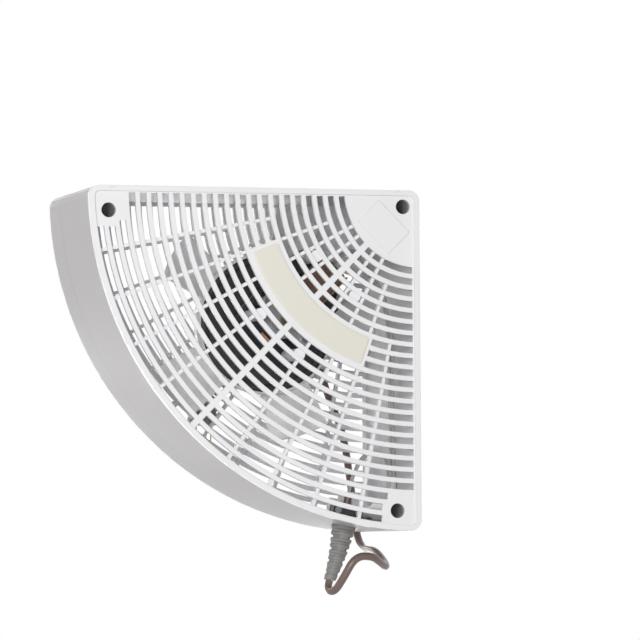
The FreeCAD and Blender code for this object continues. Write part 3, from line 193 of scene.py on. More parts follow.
cord = tube("cord", cord_points, radius=CORD_RADIUS)
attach(cord, "housing")
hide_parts("power_cord", "cord_coil", "plug_lead")
print(f"cord: {len(cord_points)} points, {cord.data.splines[0].calc_length():.3f} m")

# %% [markdown]
# ## Node maths in Python
# A finish is easier to read as a sum than as a web of nodes. One small class holds an output socket
# and overloads the operators, so that `1 - mask` adds its own Math node. A second class makes any
# other node: its settings are set first, because they can change which sockets it has. A Mix node has
# sockets for every kind of data, so the three for colours are named by their numbers.

# %% Shader helpers
COLOUR_A, COLOUR_B, COLOUR_RESULT = 6, 7, 2


class Value:
    """An output socket that can be used in arithmetic."""

    def __init__(self, graph, socket):
        self.graph = graph
        self.socket = socket

    def math(self, operation, *others):
        inputs = dict(enumerate((self, *others)))
        return self.graph.node("ShaderNodeMath", {"operation": operation}, inputs)

    def __add__(self, other):
        return self.math("ADD", other)

    def __sub__(self, other):
        return self.math("SUBTRACT", other)

    def __mul__(self, other):
        return self.math("MULTIPLY", other)

    def __rsub__(self, other):
        return (self * -1) + other

    __radd__ = __add__
    __rmul__ = __mul__

    def step(self, low, high):
        """Smooth rise from 0 at low to 1 at high."""
        inputs = {"Value": self, "From Min": low, "From Max": high}
        return self.graph.node("ShaderNodeMapRange", {"interpolation_type": "SMOOTHSTEP"}, inputs)


class Graph:
    """A node tree that is written as expressions."""

    def __init__(self, tree):
        self.tree = tree

    def node(self, kind, settings=None, inputs=None, output=0):
        made = self.tree.nodes.new(kind)
        for name, setting in (settings or {}).items():
            setattr(made, name, setting)
        for name, value in (inputs or {}).items():
            self.feed(made.inputs[name], value)
        return Value(self, made.outputs[output])

    def feed(self, socket, value):
        if isinstance(value, Value):
            self.tree.links.new(value.socket, socket)
        else:
            socket.default_value = value

    def mix(self, dark, light, share):
        """Colour between two colours."""
        inputs = {"Factor": share, COLOUR_A: dark, COLOUR_B: light}
        return self.node("ShaderNodeMix", {"data_type": "RGBA"}, inputs, output=COLOUR_RESULT)

    def noise(self, place, scale, detail=2):
        inputs = {"Vector": place, "Scale": scale, "Detail": detail}
        return self.node("ShaderNodeTexNoise", None, inputs)

    def mapped(self, place, **changes):
        """A place that a Mapping node turns or scales."""
        inputs = {"Vector": place, **changes}
        return self.node("ShaderNodeMapping", {"vector_type": "POINT"}, inputs)


class Finish(Graph):
    """A material: constants go straight on the shader's sockets, and expressions are fed to them."""

    def __init__(self, name, **constants):
        self.material = bpy.data.materials.new(name)
        self.material.use_nodes = True
        super().__init__(self.material.node_tree)
        self.shader = self.tree.nodes["Principled BSDF"]
        for socket, number in constants.items():
            self.shader.inputs[socket.replace("_", " ")].default_value = number
        self.place = self.node("ShaderNodeTexCoord", output="Object")

    def axis(self, letter):
        """One object coordinate in millimetres."""
        part = self.node("ShaderNodeSeparateXYZ", None, {0: self.place}, output=letter)
        return part * (1 / MM)

    def set(self, **values):
        for socket, value in values.items():
            self.feed(self.shader.inputs[socket.replace("_", " ")], value)

    def relief(self, height, depth, corner=None):
        """Bump from a height field, over edges that look rounded by the corner's radius in mm."""
        inputs = {"Height": height, "Distance": depth * MM, "Strength": 1}
        if corner:
            inputs["Normal"] = self.node("ShaderNodeBevel", {"samples": 4}, {"Radius": corner * MM})
        self.set(Normal=self.node("ShaderNodeBump", None, inputs))


def shade(colour, factor):
    """A colour made darker or lighter by a factor, with full alpha."""
    return (*(min(1, channel * factor) for channel in colour), 1)


print("shader helpers:", *(kind.__name__ for kind in (Value, Graph, Finish)))

# %% [markdown]
# ## Moulded plastics
# Most of the fan is injection moulded. Such plastic is never quite even: its colour drifts a little
# with the flow of the melt, the mould's fine spark grain breaks up the gloss, and every edge has a
# small radius. A Bevel modifier on so many thin rings would be heavy, so the Bevel node rounds the
# edges in the shading.

# %% Moulded plastic
FLOW = (18, 3)
FLOW_GLOSS = 0.12
SPARK = (1400, 2)
SPARK_GLOSS = 0.1
DRIFT = 0.03
WHITE = (0.80, 0.80, 0.81)


def moulded(name, colour, roughness, drift=DRIFT, grain=0.012, corner=0.5, **constants):
    """Colour drifts with slow noise; gloss and a shallow bump follow a fine mould grain."""
    finish = Finish(name, **constants)
    flow = finish.noise(finish.place, *FLOW)
    spark = finish.noise(finish.place, *SPARK)
    finish.set(
        Base_Color=finish.mix(shade(colour, 1 - drift), shade(colour, 1 + drift), flow),
        Roughness=roughness + (flow - 0.5) * FLOW_GLOSS + (spark - 0.5) * SPARK_GLOSS,
    )
    finish.relief(spark, grain, corner)
    return finish


white_shell = moulded("white_shell", WHITE, 0.36, corner=0.7)
white_blade = moulded("white_blade", (0.87, 0.88, 0.88), 0.3, corner=0.4)
charcoal_hub = moulded("charcoal_hub", (0.045, 0.041, 0.044), 0.45, drift=0.1)
cream_label = moulded(
    "cream_label", (0.735, 0.71, 0.635), 0.42, drift=0.02, grain=0.006, corner=0.3
)
former_nylon = moulded("former_nylon", (0.36, 0.30, 0.22), 0.5)
washer_nylon = moulded("washer_nylon", (0.74, 0.72, 0.64), 0.45, corner=0.1)
white_tie = moulded("white_tie", (0.74, 0.74, 0.72), 0.4, corner=0.2)
cap_white = moulded("cap_white", (0.70, 0.69, 0.64), 0.45)
clamp_black = moulded("clamp_black", (0.05, 0.05, 0.055), 0.5, drift=0.1)
lead_grey = moulded("lead_grey", (0.50, 0.49, 0.49), 0.45, drift=0.08, corner=0.1)
print("plastics:", len(bpy.data.materials), "materials so far")

# %% [markdown]
# ## Screw wells
# Three wells go deep into the front grille. The photograph shows them nearly black, which plain studio
# light on white plastic doesn't give, so shade is painted into them: the finish darkens their insides as
# the shade of deep unlit holes. A mask can come from painting, but a well is a circle about a known
# line: the distance from that line tells the inside of the well from the plate, and the depth lets the
# painted shade grow gradually.

# %% Wells
WELLS = ((-123.5, -20), (126.5, -13.5), (120, -263.5))
WELL_BORE = 6
WELL_EDGE = (WELL_BORE + 0.1, WELL_BORE + 0.4)
WELL_DEPTHS = (-69, -60)
WELL_SHADE_PAINT = (0.2, 0.175, 0.185, 1)
WELL_SHARE = 0.8
across, depth, upward = (white_shell.axis(letter) for letter in "XYZ")
inside = 0
for x, z in WELLS:
    square = (across - x) * (across - x) + (upward - z) * (upward - z)
    inside = inside + (1 - square.math("SQRT").step(*WELL_EDGE))
flow = white_shell.noise(white_shell.place, *FLOW)
plain_white = white_shell.mix(shade(WHITE, 1 - DRIFT), shade(WHITE, 1 + DRIFT), flow)
# painted shade: the wells' insides darken with depth, standing in for the shade of deep holes
darkened = inside * depth.step(*WELL_DEPTHS) * WELL_SHARE
white_shell.set(Base_Color=white_shell.mix(plain_white, WELL_SHADE_PAINT, darkened))
print("wells:", len(WELLS), "darkened")

# %% [markdown]
# ## Casing
# The wall ring and the rear grille are moulded in a grey of their own, with a coarser grain. Where the
# shells meet they leave a narrow shadow gap. Modelling that groove would change the solids, so its
# shade is painted: the finish darkens half a millimetre to each side of both seams, by the depth
# coordinate. Through the slots the photograph shows the inside paler than the outer faces, so light is
# painted there: the finish makes the inside paler, standing in for the light that falls in. Four
# distances tell the inside from the outer faces.

# %% Casing finish
GREY = (0.43, 0.412, 0.427)
INSIDE_PAINTED_LIGHT = (0.80, 0.785, 0.80)
CASING_DRIFT = 0.05
GAP_FRONT = -64
GAP_REAR = 28
GAP_HALF = 0.5
GAP_CORE = 0.4 * GAP_HALF
GAP_SHADE = 0.25
GAP_FRONT_SHARE = 0.8
GAP_REAR_SHARE = 0.5
WALL_SKIN = (2.6, 1.6)
REAR_SKIN = (2.8, 1.8)


def under(place, face, skin_depths):
    """1 for what lies deeper under a face than the first depth, falling to 0 at the second."""
    return 1 - place.step(*(face - skin_depth for skin_depth in skin_depths))


grey_casing = moulded("grey_casing", GREY, 0.5, drift=CASING_DRIFT, grain=0.03, corner=0.4)
depth = grey_casing.axis("Y")
gap_shade_masks = [
    1 - (depth - seam).math("ABSOLUTE").step(GAP_CORE, GAP_HALF)
    for seam in (GAP_FRONT, GAP_REAR)
]
flow = grey_casing.noise(grey_casing.place, *FLOW)
drifts = (shade(GREY, 1 - CASING_DRIFT), shade(GREY, 1 + CASING_DRIFT))
plain_grey = grey_casing.mix(*drifts, flow)
across = grey_casing.axis("X")
upward = grey_casing.axis("Z")
sideways = HALF_SIDE - across
reach = (sideways * sideways + upward * upward).math("SQRT")
# painted light: the inside faces take a paler grey that stands in for the light reaching them
painted_light_inside = under(reach, SIDE, WALL_SKIN) * under(across, HALF_SIDE, WALL_SKIN)
painted_light_inside = painted_light_inside * under(upward, 0, WALL_SKIN) * under(depth, REAR, REAR_SKIN)
plain_grey = grey_casing.mix(plain_grey, shade(INSIDE_PAINTED_LIGHT, 1), painted_light_inside)
# painted shade at both seams, where the unmodelled groove's shadow would fall
seams = gap_shade_masks[0] * GAP_FRONT_SHARE + gap_shade_masks[1] * GAP_REAR_SHARE
grey_casing.set(Base_Color=grey_casing.mix(plain_grey, shade(GREY, GAP_SHADE), seams))
print("casing: seams at", GAP_FRONT, "and", GAP_REAR, "mm")

# %% [markdown]
# ## Soft vinyl and rubber
# The cord's jacket, the ribbed sleeve and the plug are soft vinyl, with a fine pebble in the gloss and
# a bloom of paler dust. The sleeve and the plug are duller than the shells, and the cord is glossier.
# One function makes them all, and the grommets' rubber too, because only colour and gloss differ.

# %% Vinyl
PATCH = (45, 4)
PEBBLE = (900, 3)
PEBBLE_GLOSS = 0.2
PEBBLE_DEPTH = 0.03
VINYL_CORNER = 0.3


def vinyl(name, colour, roughness=0.55, bloom=0.12):
    """Soft plastic: slow bloom of paler patches, fine pebble in the gloss and in a shallow bump."""
    finish = Finish(name, Specular_IOR_Level=0.4)
    patch = finish.noise(finish.place, *PATCH)
    pebble = finish.noise(finish.place, *PEBBLE)
    finish.set(
        Base_Color=finish.mix(shade(colour, 1 - bloom), shade(colour, 1 + bloom), patch),
        Roughness=roughness + (pebble - 0.5) * PEBBLE_GLOSS,
    )
    finish.relief(pebble + patch * 0.5, PEBBLE_DEPTH, VINYL_CORNER)
    return finish


grey_cord = vinyl("grey_cord", (0.17, 0.115, 0.103), roughness=0.3)
grey_relief = vinyl("grey_relief", (0.25, 0.245, 0.24))
grey_plug = vinyl("grey_plug", (0.27, 0.25, 0.24))
grommet_rubber = vinyl("grommet_rubber", (0.03, 0.03, 0.03), 0.7)
print("vinyl:", len(bpy.data.materials), "materials so far")

# %% [markdown]
# ## Metals
# Screws, shaft, brackets, bearings and the plug's pins are bare metal. Turned and drawn metal has fine
# lines along one direction, so the noise is stretched by scaling the axes of its coordinates.

# %% Metal
LINE = (700, 3)
LINE_GLOSS = 0.25
STAIN = (60, 3)
STAIN_GLOSS = 0.1
STAIN_SHADES = (0.82, 1.1)


def metal(name, colour, roughness, lines=(1, 1, 1), grain=0.01, corner=0.15):
    """Bare metal: stretched noise makes fine working lines in gloss and bump."""
    finish = Finish(name, Metallic=1)
    line = finish.noise(finish.mapped(finish.place, Scale=lines), *LINE)
    stain = finish.noise(finish.place, *STAIN)
    dark, light = (shade(colour, factor) for factor in STAIN_SHADES)
    finish.set(
        Base_Color=finish.mix(dark, light, stain),
        Roughness=roughness + (line - 0.5) * LINE_GLOSS + (stain - 0.5) * STAIN_GLOSS,
    )
    finish.relief(line, grain, corner)
    return finish


steel_screw = metal("steel_screw", (0.36, 0.36, 0.37), 0.38)
copper = metal("copper", (0.72, 0.36, 0.20), 0.32)
die_cast = metal("die_cast", (0.50, 0.50, 0.52), 0.5, grain=0.03)
bronze = metal("bronze", (0.50, 0.35, 0.16), 0.4)
rotor_steel = metal("rotor_steel", (0.42, 0.43, 0.45), 0.3, lines=(0.1, 1, 0.1))
pin_brass = metal("pin_brass", (0.78, 0.68, 0.44), 0.28, lines=(1, 1, 0.08))
print("metals:", len(bpy.data.materials), "materials so far")

# %% [markdown]
# ## Lamination stack
# The motor's core is a pile of thin varnished sheets. Their edges show as fine lines, so the depth
# coordinate is cut into half-millimetre steps and each step's seam is sunk and darkened.

# %% Laminations
SHEET = 0.5
SHEET_SEAM = (0.34, 0.48)
SHEET_RELIEF = 0.08
SHEET_CORNER = 0.2
IRON = (0.13, 0.13, 0.145)
VARNISH = (80, 4)
lamination = Finish("lamination", Metallic=0.7)
sheet_place = (lamination.axis("Y") * (1 / SHEET)).math("FRACT")
sheet_face = 1 - (sheet_place - 0.5).math("ABSOLUTE").step(*SHEET_SEAM)
varnish = lamination.noise(lamination.place, *VARNISH)
sheet_colour = lamination.mix(shade(IRON, 0.7), shade(IRON, 1.3), varnish)
lamination.set(
    Base_Color=lamination.mix(shade(IRON, 0.35), sheet_colour, sheet_face),
    Roughness=0.42 + (varnish - 0.5) * 0.3,
)
lamination.relief(sheet_face, SHEET_RELIEF, SHEET_CORNER)
print("laminations: one sheet every", SHEET, "mm")

# %% [markdown]
# ## Varnished tape
# The winding is wrapped in cotton tape that has been dipped in brown varnish. The cloth still shows as
# threads that cross, so three sine waves, one along each axis of the motor, make its bump. They are
# turned with the motor, which stands at 45 degrees in the corner.

# %% Tape
TAPE = (0.19, 0.105, 0.065)
TAPE_SHADES = (0.6, 1.5)
THREAD = 0.7
THREAD_DEPTH = 0.04
DIP = (70, 4)
MOTOR_TURN = math.radians(45)
coil_tape = Finish("coil_tape", Coat_Weight=0.25, Coat_Roughness=0.3)
motor_place = coil_tape.mapped(coil_tape.place, Rotation=(0, MOTOR_TURN, 0))


def threads(letter):
    """Sine of the place along one axis of the motor, with a full wave for each thread."""
    place = coil_tape.node("ShaderNodeSeparateXYZ", None, {0: motor_place}, output=letter)
    return (place * (2 * math.pi / THREAD / MM)).math("SINE")


cloth = threads("X") + threads("Y") + threads("Z")
dip = coil_tape.noise(coil_tape.place, *DIP)
coil_tape.set(
    Base_Color=coil_tape.mix(*(shade(TAPE, factor) for factor in TAPE_SHADES), dip),
    Roughness=0.5 + (dip - 0.5) * 0.3,
)
coil_tape.relief(cloth, THREAD_DEPTH)
print("tape: threads every", THREAD, "mm")

# %% [markdown]
# ## Finishes on the solids
# A solid whose shape is already right keeps it, and only takes a material. The table names one finish
# for each, as the record's slots do.

# %% Dress the solids
NODE_FINISH = {
    white_shell: ["front_grille"],
    grey_casing: ["casing", "rear_grille"],
    cream_label: ["label_plate"],
    steel_screw: [
        "grille_screws", "bracket_screws", "bracket_nuts", "mount_screws", "clamp_screws", "hub_clip",
    ],
    lamination: ["motor_stack"],
    copper: ["shading_rings"],
    former_nylon: ["motor_bobbin"],
    die_cast: ["front_bracket", "rear_bracket", "cage_rings"],
    bronze: ["front_bush", "rear_bush"],
    grommet_rubber: ["mount_grommets"],
    rotor_steel: ["rotor_core", "motor_shaft"],
    washer_nylon: ["thrust_washers"],
    charcoal_hub: ["fan_hub"],
    white_blade: ["blade_ring"],
    grey_relief: ["strain_relief"],
    grey_cord: ["cord_tail"],
    white_tie: ["cord_tie"],
    grey_plug: ["plug_body"],
    pin_brass: ["plug_pins"],
    lead_grey: ["supply_leads", "motor_leads"],
    coil_tape: ["motor_coil_wrap"],
    cap_white: ["wire_caps"],
    clamp_black: ["cord_clamp"],
}
for finish, nodes in NODE_FINISH.items():
    for node in nodes:
        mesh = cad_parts[node].data
        mesh.materials.clear()
        mesh.materials.append(finish.material)
cord.data.materials.append(grey_cord.material)
print("dressed:", sum(len(nodes) for nodes in NODE_FINISH.values()), "solids")

# %% [markdown]
# ## Surfaces from grids
# The pieces that follow need softer or finer shapes than the solids have. They could be modelled by
# hand, but a function of two parameters says exactly what a shape is, and numpy works out its whole
# grid of points at once. One helper joins a grid's neighbours into quads, and another makes one mesh
# of several grids, merges the doubled points of seams and poles, and turns every face outwards.

# %% Grid helpers
MERGE = 1e-6


def skin(points, along=False):
    """Quads between neighbours of a grid whose columns close up, and whose rows do where asked."""
    rows, columns = points.shape[:2]
    row = np.arange(rows if along else rows - 1)[:, None]
    column = np.arange(columns)[None, :]
    here = row * columns
    there = (row + 1) % rows * columns
    after = (column + 1) % columns
    faces = np.stack([here + column, here + after, there + after, there + column], axis=-1)
    return points.reshape(-1, 3), faces.reshape(-1, 4)


def make_piece(name, skins, finish, body, slot, *nodes, crisp=35):
    """Joins skins in millimetres into one mesh that stands for its solids and rides on a body."""
    starts = np.cumsum([0] + [len(points) for points, _ in skins])
    points = np.concatenate([points for points, _ in skins]) * MM
    faces = np.concatenate([quads + start for (_, quads), start in zip(skins, starts)])
    mesh = bpy.data.meshes.new(name)
    mesh.from_pydata(points.tolist(), [], faces.tolist())
    shell = bmesh.new()
    shell.from_mesh(mesh)
    bmesh.ops.remove_doubles(shell, verts=shell.verts, dist=MERGE)
    bmesh.ops.recalc_face_normals(shell, faces=shell.faces)
    shell.to_mesh(mesh)
    open_edges = sum(not edge.is_manifold for edge in shell.edges)
    shell.free()
    mesh.shade_smooth()
    mesh.set_sharp_from_angle(angle=math.radians(crisp))
    mesh.materials.append(finish.material)
    made = bpy.data.objects.new(name, mesh)
    scene.collection.objects.link(made)
    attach(made, body)
    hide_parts(*nodes)
    print(f"{name}: {len(mesh.polygons)} faces, {open_edges} open edges")
    return made


print("grid helpers: 3 rows of 4 points make", len(skin(np.zeros((3, 4, 3)))[1]), "quads")

# %% [markdown]
# ## Shapes that come again
# Most of the pieces are turned, like a hub, or carry a rounded rectangle along, like a strap. Blender's
# Spin and Bevel could make both, but a formula keeps the points in rows, as the grids need them. Each
# shape is made about its own axes and then carried to its place in the fan.

# %% Shape helpers
MOTOR_PLACE = (33.5, -16, -106.5)
SLANT = math.sqrt(0.5)
MOTOR_AXES = ((SLANT, 0, SLANT), (0, 1, 0), (-SLANT, 0, SLANT))
SPIN_AXES = ((1, 0, 0), (0, 0, -1), (0, 1, 0))


def placed(local, origin, axes):
    """Carries local points into the fan's frame: the origin plus each coordinate along its own axis."""
    return np.asarray(origin) + local @ np.asarray(axes)


def full_turn(count):
    """Even steps of angle round a circle."""
    return np.linspace(0, 2 * np.pi, count, endpoint=False)


def round_points(radius, turn, height):
    """Points at a radius and an angle about the local Z axis, and at a height along it."""
    return np.stack([radius * np.cos(turn), radius * np.sin(turn), height + 0 * turn], axis=-1)


def turned(profile, count=96):
    """Turns a profile of radius and height about the local Z axis."""
    radius, height = np.asarray(profile, float).T[:, :, None]
    return round_points(radius, full_turn(count), height)


def raised(flat, height):
    """Gives points of a plane their third coordinate, one height for each row."""
    return np.concatenate([flat, np.broadcast_to(height[:, :, None], (*flat.shape[:2], 1))], axis=-1)


def rounded_loop(half_wide, half_tall, radius, count):
    """Even steps round a rounded rectangle: the corner circles' centres, and directions outwards."""
    wide = half_wide - radius
    tall = half_tall - radius
    bend = np.pi * radius / 2
    knots = np.cumsum([0] + [2 * tall, bend, 2 * wide, bend] * 2)
    run = np.mod(tall + np.linspace(0, knots[-1], count, endpoint=False), knots[-1])
    angle = np.radians(np.interp(run, knots, [0, 0, 90, 90, 180, 180, 270, 270, 360]))
    across = np.interp(run, knots, wide * np.array([1, 1, 1, -1, -1, -1, -1, 1, 1]))
    upward = np.interp(run, knots, tall * np.array([-1, 1, 1, 1, 1, -1, -1, -1, -1]))
    return np.stack([across, upward], axis=-1), np.stack([np.cos(angle), np.sin(angle)], axis=-1)


def bar(half_wide, half_tall, radius, start, stop, edge=0.4, count=48):
    """Rounded bar along local Z: one loop carried along, set in at both edges and drawn to a point."""
    centre, outward = rounded_loop(half_wide, half_tall, radius, count)
    full = centre + radius * outward
    inset = centre + (radius - edge) * outward
    loops = np.stack([0 * full, inset, full, full, inset, 0 * full])
    heights = np.array([start, start, start + edge, stop - edge, stop, stop], float)
    return raised(loops, heights[:, None])


def towards_corner(reach):
    """Point at a reach from the motor's middle towards the fan's corner."""
    return placed(np.array([reach, 0, 0]), MOTOR_PLACE, MOTOR_AXES)


print("motor: middle at", MOTOR_PLACE, "mm")

# %% [markdown]
# ## Wrapped winding
# Tape goes round and round the winding, and each lap lies half over the one before. A displaced tube
# could show that, but the laps follow from one sawtooth along the winding, shifted by a lap for each
# time round, so the step climbs like a screw thread.

# %% Winding
WRAP_REACH = 48
WRAP_HALF = (17.4, 20.4)
WRAP_HALF_LENGTH = 12.6
WRAP_CORNER = 6.4
WRAP_EDGE = 2.2
HOLE_HALF = (9.5, 12.5)
HOLE_CORNER = 0.5
LAP = 4.2
LAP_STEP = 0.45
LAP_FALL = 0.12


def wrapped_winding(count=160, rows=121):
    """Rounded loops along the winding, lowered by a screw-shaped sawtooth and rounded at both ends."""
    centre, outward = rounded_loop(*WRAP_HALF, WRAP_CORNER, count)
    length = WRAP_HALF_LENGTH * np.linspace(-1, 1, rows)[:, None]
    lap = np.mod(length / LAP + np.arange(count) / count, 1)
    climb = np.where(lap < 1 - LAP_FALL, lap / (1 - LAP_FALL), (1 - lap) / LAP_FALL)
    over = np.clip((np.abs(length) - WRAP_HALF_LENGTH + WRAP_EDGE) / WRAP_EDGE, 0, 1)
    fall = LAP_STEP * (1 - climb) + WRAP_EDGE * (1 - np.sqrt(1 - over**2))
    outside = raised(centre + (WRAP_CORNER - fall)[:, :, None] * outward, length)
    hole_centre, hole_outward = rounded_loop(*HOLE_HALF, HOLE_CORNER, count)
    hole = np.broadcast_to(hole_centre + HOLE_CORNER * hole_outward, (2, count, 2))
    return np.concatenate([outside, raised(hole, length[[-1, 0]])])


winding = placed(wrapped_winding(), towards_corner(WRAP_REACH), MOTOR_AXES)
make_piece(
    "winding_wrap", [skin(winding, along=True)], coil_tape, "housing", "coil_wrap",
    "motor_coil_wrap", crisp=50,
)

# %% [markdown]
# ## Leads
# Two thin leads run from the cord to the crimp caps, and two more from the caps up the jamb wall to the
# winding. They are lines like the cord, which bend softly where the solids have arcs between straight
# runs. The two of a pair share one route, and are shifted along the depth to both sides of it.

# %% Leads
LEAD_RADIUS = 1.1
TAIL = 28
TAIL_LEADS = 42
CAP_TOP = np.array([133.3, -10, -234.6])
LEAD_OUT = towards_corner(79.4)
LEAD_END = towards_corner(65.4)
SUPPLY_ROUTE = [
    GLAND - TAIL * GLAND_OUT, GLAND - TAIL_LEADS * GLAND_OUT,
    CAP_TOP + (-21.25, 0, 22), CAP_TOP + (-4.25, 0, 18),
    CAP_TOP + (-1.25, 0, 7), CAP_TOP + (-1.25, 0, 0),
]
SUPPLY_SPREAD = (1.25, 1.25, 4, 4, 4, 4)
FEED_ROUTE = [
    CAP_TOP + (1.25, 0, 0), CAP_TOP + (1.25, 0, 28), CAP_TOP + (0.25, -0.9, 70),
    CAP_TOP + (0.75, -3, 104.6), CAP_TOP + (-5.75, -6, 150.6),
    LEAD_OUT + (20, 0, -9), LEAD_OUT + (9, 0, 6), LEAD_OUT, LEAD_END,
]
FEED_SPREAD = (4,) * len(FEED_ROUTE)


def make_leads(name, route, spread, node):
    """A pair of tubes on one route, each point shifted along the depth by its spread, to both sides."""
    pair = [np.array(route) + np.outer(spread, (0, side, 0)) for side in (-1, 1)]
    leads = tube(name, *pair, radius=LEAD_RADIUS)
    leads.data.materials.append(lead_grey.material)
    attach(leads, "housing")
    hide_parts(node)
    print(f"{name}: {len(pair)} leads of {len(route)} points")


make_leads("supply_wires", SUPPLY_ROUTE, SUPPLY_SPREAD, "supply_leads")
make_leads("feed_wires", FEED_ROUTE, FEED_SPREAD, "motor_leads")

# %% [markdown]
# ## Ribbed sleeve
# The sleeve that saves the cord from kinking is a taper of soft rings. Each slot between two rings goes
# a third of the way in and leaves a bridge on two sides, and the bridges of the next slot stand square
# to these. Its radius is a function of length and angle, and a sag that grows with the square of the
# length bends it.

# %% Sleeve
SLEEVE_ROOT = 10.3
SLEEVE_TIP = 4.9
SLEEVE_RINGS = 9
SLEEVE_ROUND = 1.2
RING_SHARE = 0.6
SLOT_SHARE = 0.34
BRIDGE_FROM = 0.8
BRIDGE_RISE = 9
BRIDGE_FILL = 0.7
CORE = 3.6
BORE = 3.3
BORE_BACK = -5
BORE_ROWS = 30
NECK = [(BORE, -5.3), (8.7, -5.3), (9, -5), (9, -3.6), (8.7, -3.3), (5.9, -3.3), (5.9, 0)]
SLEEVE_AXES = (GLAND_SIDE, (0, 1, 0), GLAND_OUT)


def sagged(local):
    """Shifts points sideways by the square of their share of the sleeve's length."""
    share = np.clip(local[..., 2] / SLEEVE, 0, None)
    bent = local.copy()
    bent[..., 0] += SLEEVE_SAG * share**2
    return placed(bent, GLAND, SLEEVE_AXES)


def ribbed_sleeve(count=72, rows=200):
    """Taper with rounded rings, cut by slots that stop short at two bridges, then back down the bore."""
    length = np.linspace(0, SLEEVE, rows)[:, None]
    turn = full_turn(count)
    taper = SLEEVE_ROOT + (SLEEVE_TIP - SLEEVE_ROOT) * length / SLEEVE
    place = length / SLEEVE * SLEEVE_RINGS
    ring = np.minimum(np.floor(place), SLEEVE_RINGS - 1)
    middle = RING_SHARE / 2
    off = np.clip(np.abs(place - ring - middle) / middle, 0, 1)
    plain_end = (place < middle) | (place > SLEEVE_RINGS - 1 + middle)
    bead = np.where(plain_end, 1, np.sqrt(1 - off**3))
    bridge_side = np.abs(np.cos(turn + ring * np.pi / 2))
    bridge = np.clip((bridge_side - BRIDGE_FROM) * BRIDGE_RISE, 0, 1)
    depth = (taper - CORE) * SLOT_SHARE * (1 - BRIDGE_FILL * bridge)
    tip = np.clip((length - SLEEVE + SLEEVE_ROUND) / SLEEVE_ROUND, 0, 1)
    radius = taper - depth * (1 - bead) - SLEEVE_ROUND * (1 - np.sqrt(1 - tip**2))
    bore_line = np.linspace(SLEEVE, BORE_BACK, BORE_ROWS)
    bore = turned(np.column_stack([np.full(BORE_ROWS, BORE), bore_line]), count)
    outside = round_points(radius, turn, length)
    return sagged(np.concatenate([turned(NECK, count), outside, bore]))


def cord_in_sleeve(count=32, rows=75):
    """Cylinder from inside the casing to the sleeve's tip, drawn to a point at both ends."""
    line = np.linspace(-TAIL, SLEEVE, rows)
    radius = np.concatenate([[0], np.full(rows, CORD_RADIUS), [0]])
    return sagged(turned(np.column_stack([radius, np.pad(line, 1, mode="edge")]), count))


make_piece(
    "sleeve", [skin(ribbed_sleeve(), along=True)], grey_relief, "housing", "grey_relief",
    "strain_relief", crisp=60,
)
make_piece("held_cord", [skin(cord_in_sleeve())], grey_cord, "housing", "grey_cord", "cord_tail")

# %% [markdown]
# ## Plug
# The plug is moulded onto the cord in one soft piece: a flat body, a grip with four finger grooves and
# a neck that tapers onto the cord. Its section is a superellipse, whose power grows from 2, a circle,
# at the neck, to 5, a rounded block, at the pins.

# %% Plug
PLUG_NECK = 13
PLUG_LENGTH = 30
PLUG_HALF = (12, 8)
PLUG_EDGE = 1.8
PLUG_SWELL = (-1, 9)
PLUG_POWERS = (2, 5)
NECK_RADIUS = 4
NECK_GROWTH = 1.4
NECK_END = 2
GRIP_START = 11
GROOVES = 4
GROOVE_PITCH = 3.2
GROOVE_DEPTH = 0.7
WAIST = (20, 10)
WAIST_DEPTH = 0.6
EDGE_STEPS = 8
PLUG_AXES = ((1, 0, 0), (0, -1, 0), (0, 0, -1))


def rise(value, low, high):
    """Smooth step from 0 at low to 1 at high: three times the share squared, less twice its cube."""
    share = np.clip((value - low) / (high - low), 0, 1)
    return share * share * (3 - 2 * share)


def plug_surface(count=96, rows=150):
    """Superellipses along the plug: half widths swell from neck to body and dip at each groove."""
    front = PLUG_LENGTH - PLUG_EDGE
    edge = PLUG_LENGTH - PLUG_EDGE * (1 - np.sin(np.linspace(0, np.pi / 2, EDGE_STEPS)))
    length = np.concatenate([np.linspace(-PLUG_NECK, front, rows)[:-1], edge])[:, None]
    turn = full_turn(count)
    swell = rise(length, *PLUG_SWELL)
    neck = NECK_RADIUS + NECK_GROWTH * rise(length, -PLUG_NECK, NECK_END)
    place = (length - GRIP_START) / GROOVE_PITCH
    groove = np.where((place > 0) & (place < GROOVES), 0.5 - 0.5 * np.cos(2 * np.pi * place), 0)
    corner = np.clip((length - PLUG_LENGTH + PLUG_EDGE) / PLUG_EDGE, 0, 1)
    inset = PLUG_EDGE * (1 - np.sqrt(1 - corner**2)) + GROOVE_DEPTH * groove
    inset = inset + WAIST_DEPTH * rise(length, *WAIST) * swell
    soft, blocky = PLUG_POWERS
    power = 2 / (soft + (blocky - soft) * swell)
    sides = []
    for half, wave in zip(PLUG_HALF, (np.cos(turn), np.sin(turn))):
        sides.append((neck + (half - neck) * swell - inset) * np.sign(wave) * np.abs(wave) ** power)
    body = np.stack([*sides, length + 0 * turn], axis=-1)
    caps = turned([(0, -PLUG_NECK), (0, PLUG_LENGTH)], count)
    return np.concatenate([caps[:1], body, caps[1:]])


plug_skin = skin(placed(plug_surface(), cord_end[-1], PLUG_AXES))
plug = make_piece("plug", [plug_skin], grey_plug, "housing", "grey_plug", "plug_body", crisp=50)

# %% [markdown]
# ## Strap
# A nylon strap passes through two slots of the rear grille and holds the coil. A bent box would have
# sharp corners, so the strap is one rounded loop, with its narrow section carried round it, a ratchet
# head on the outer leg, and the free end standing out of the head.

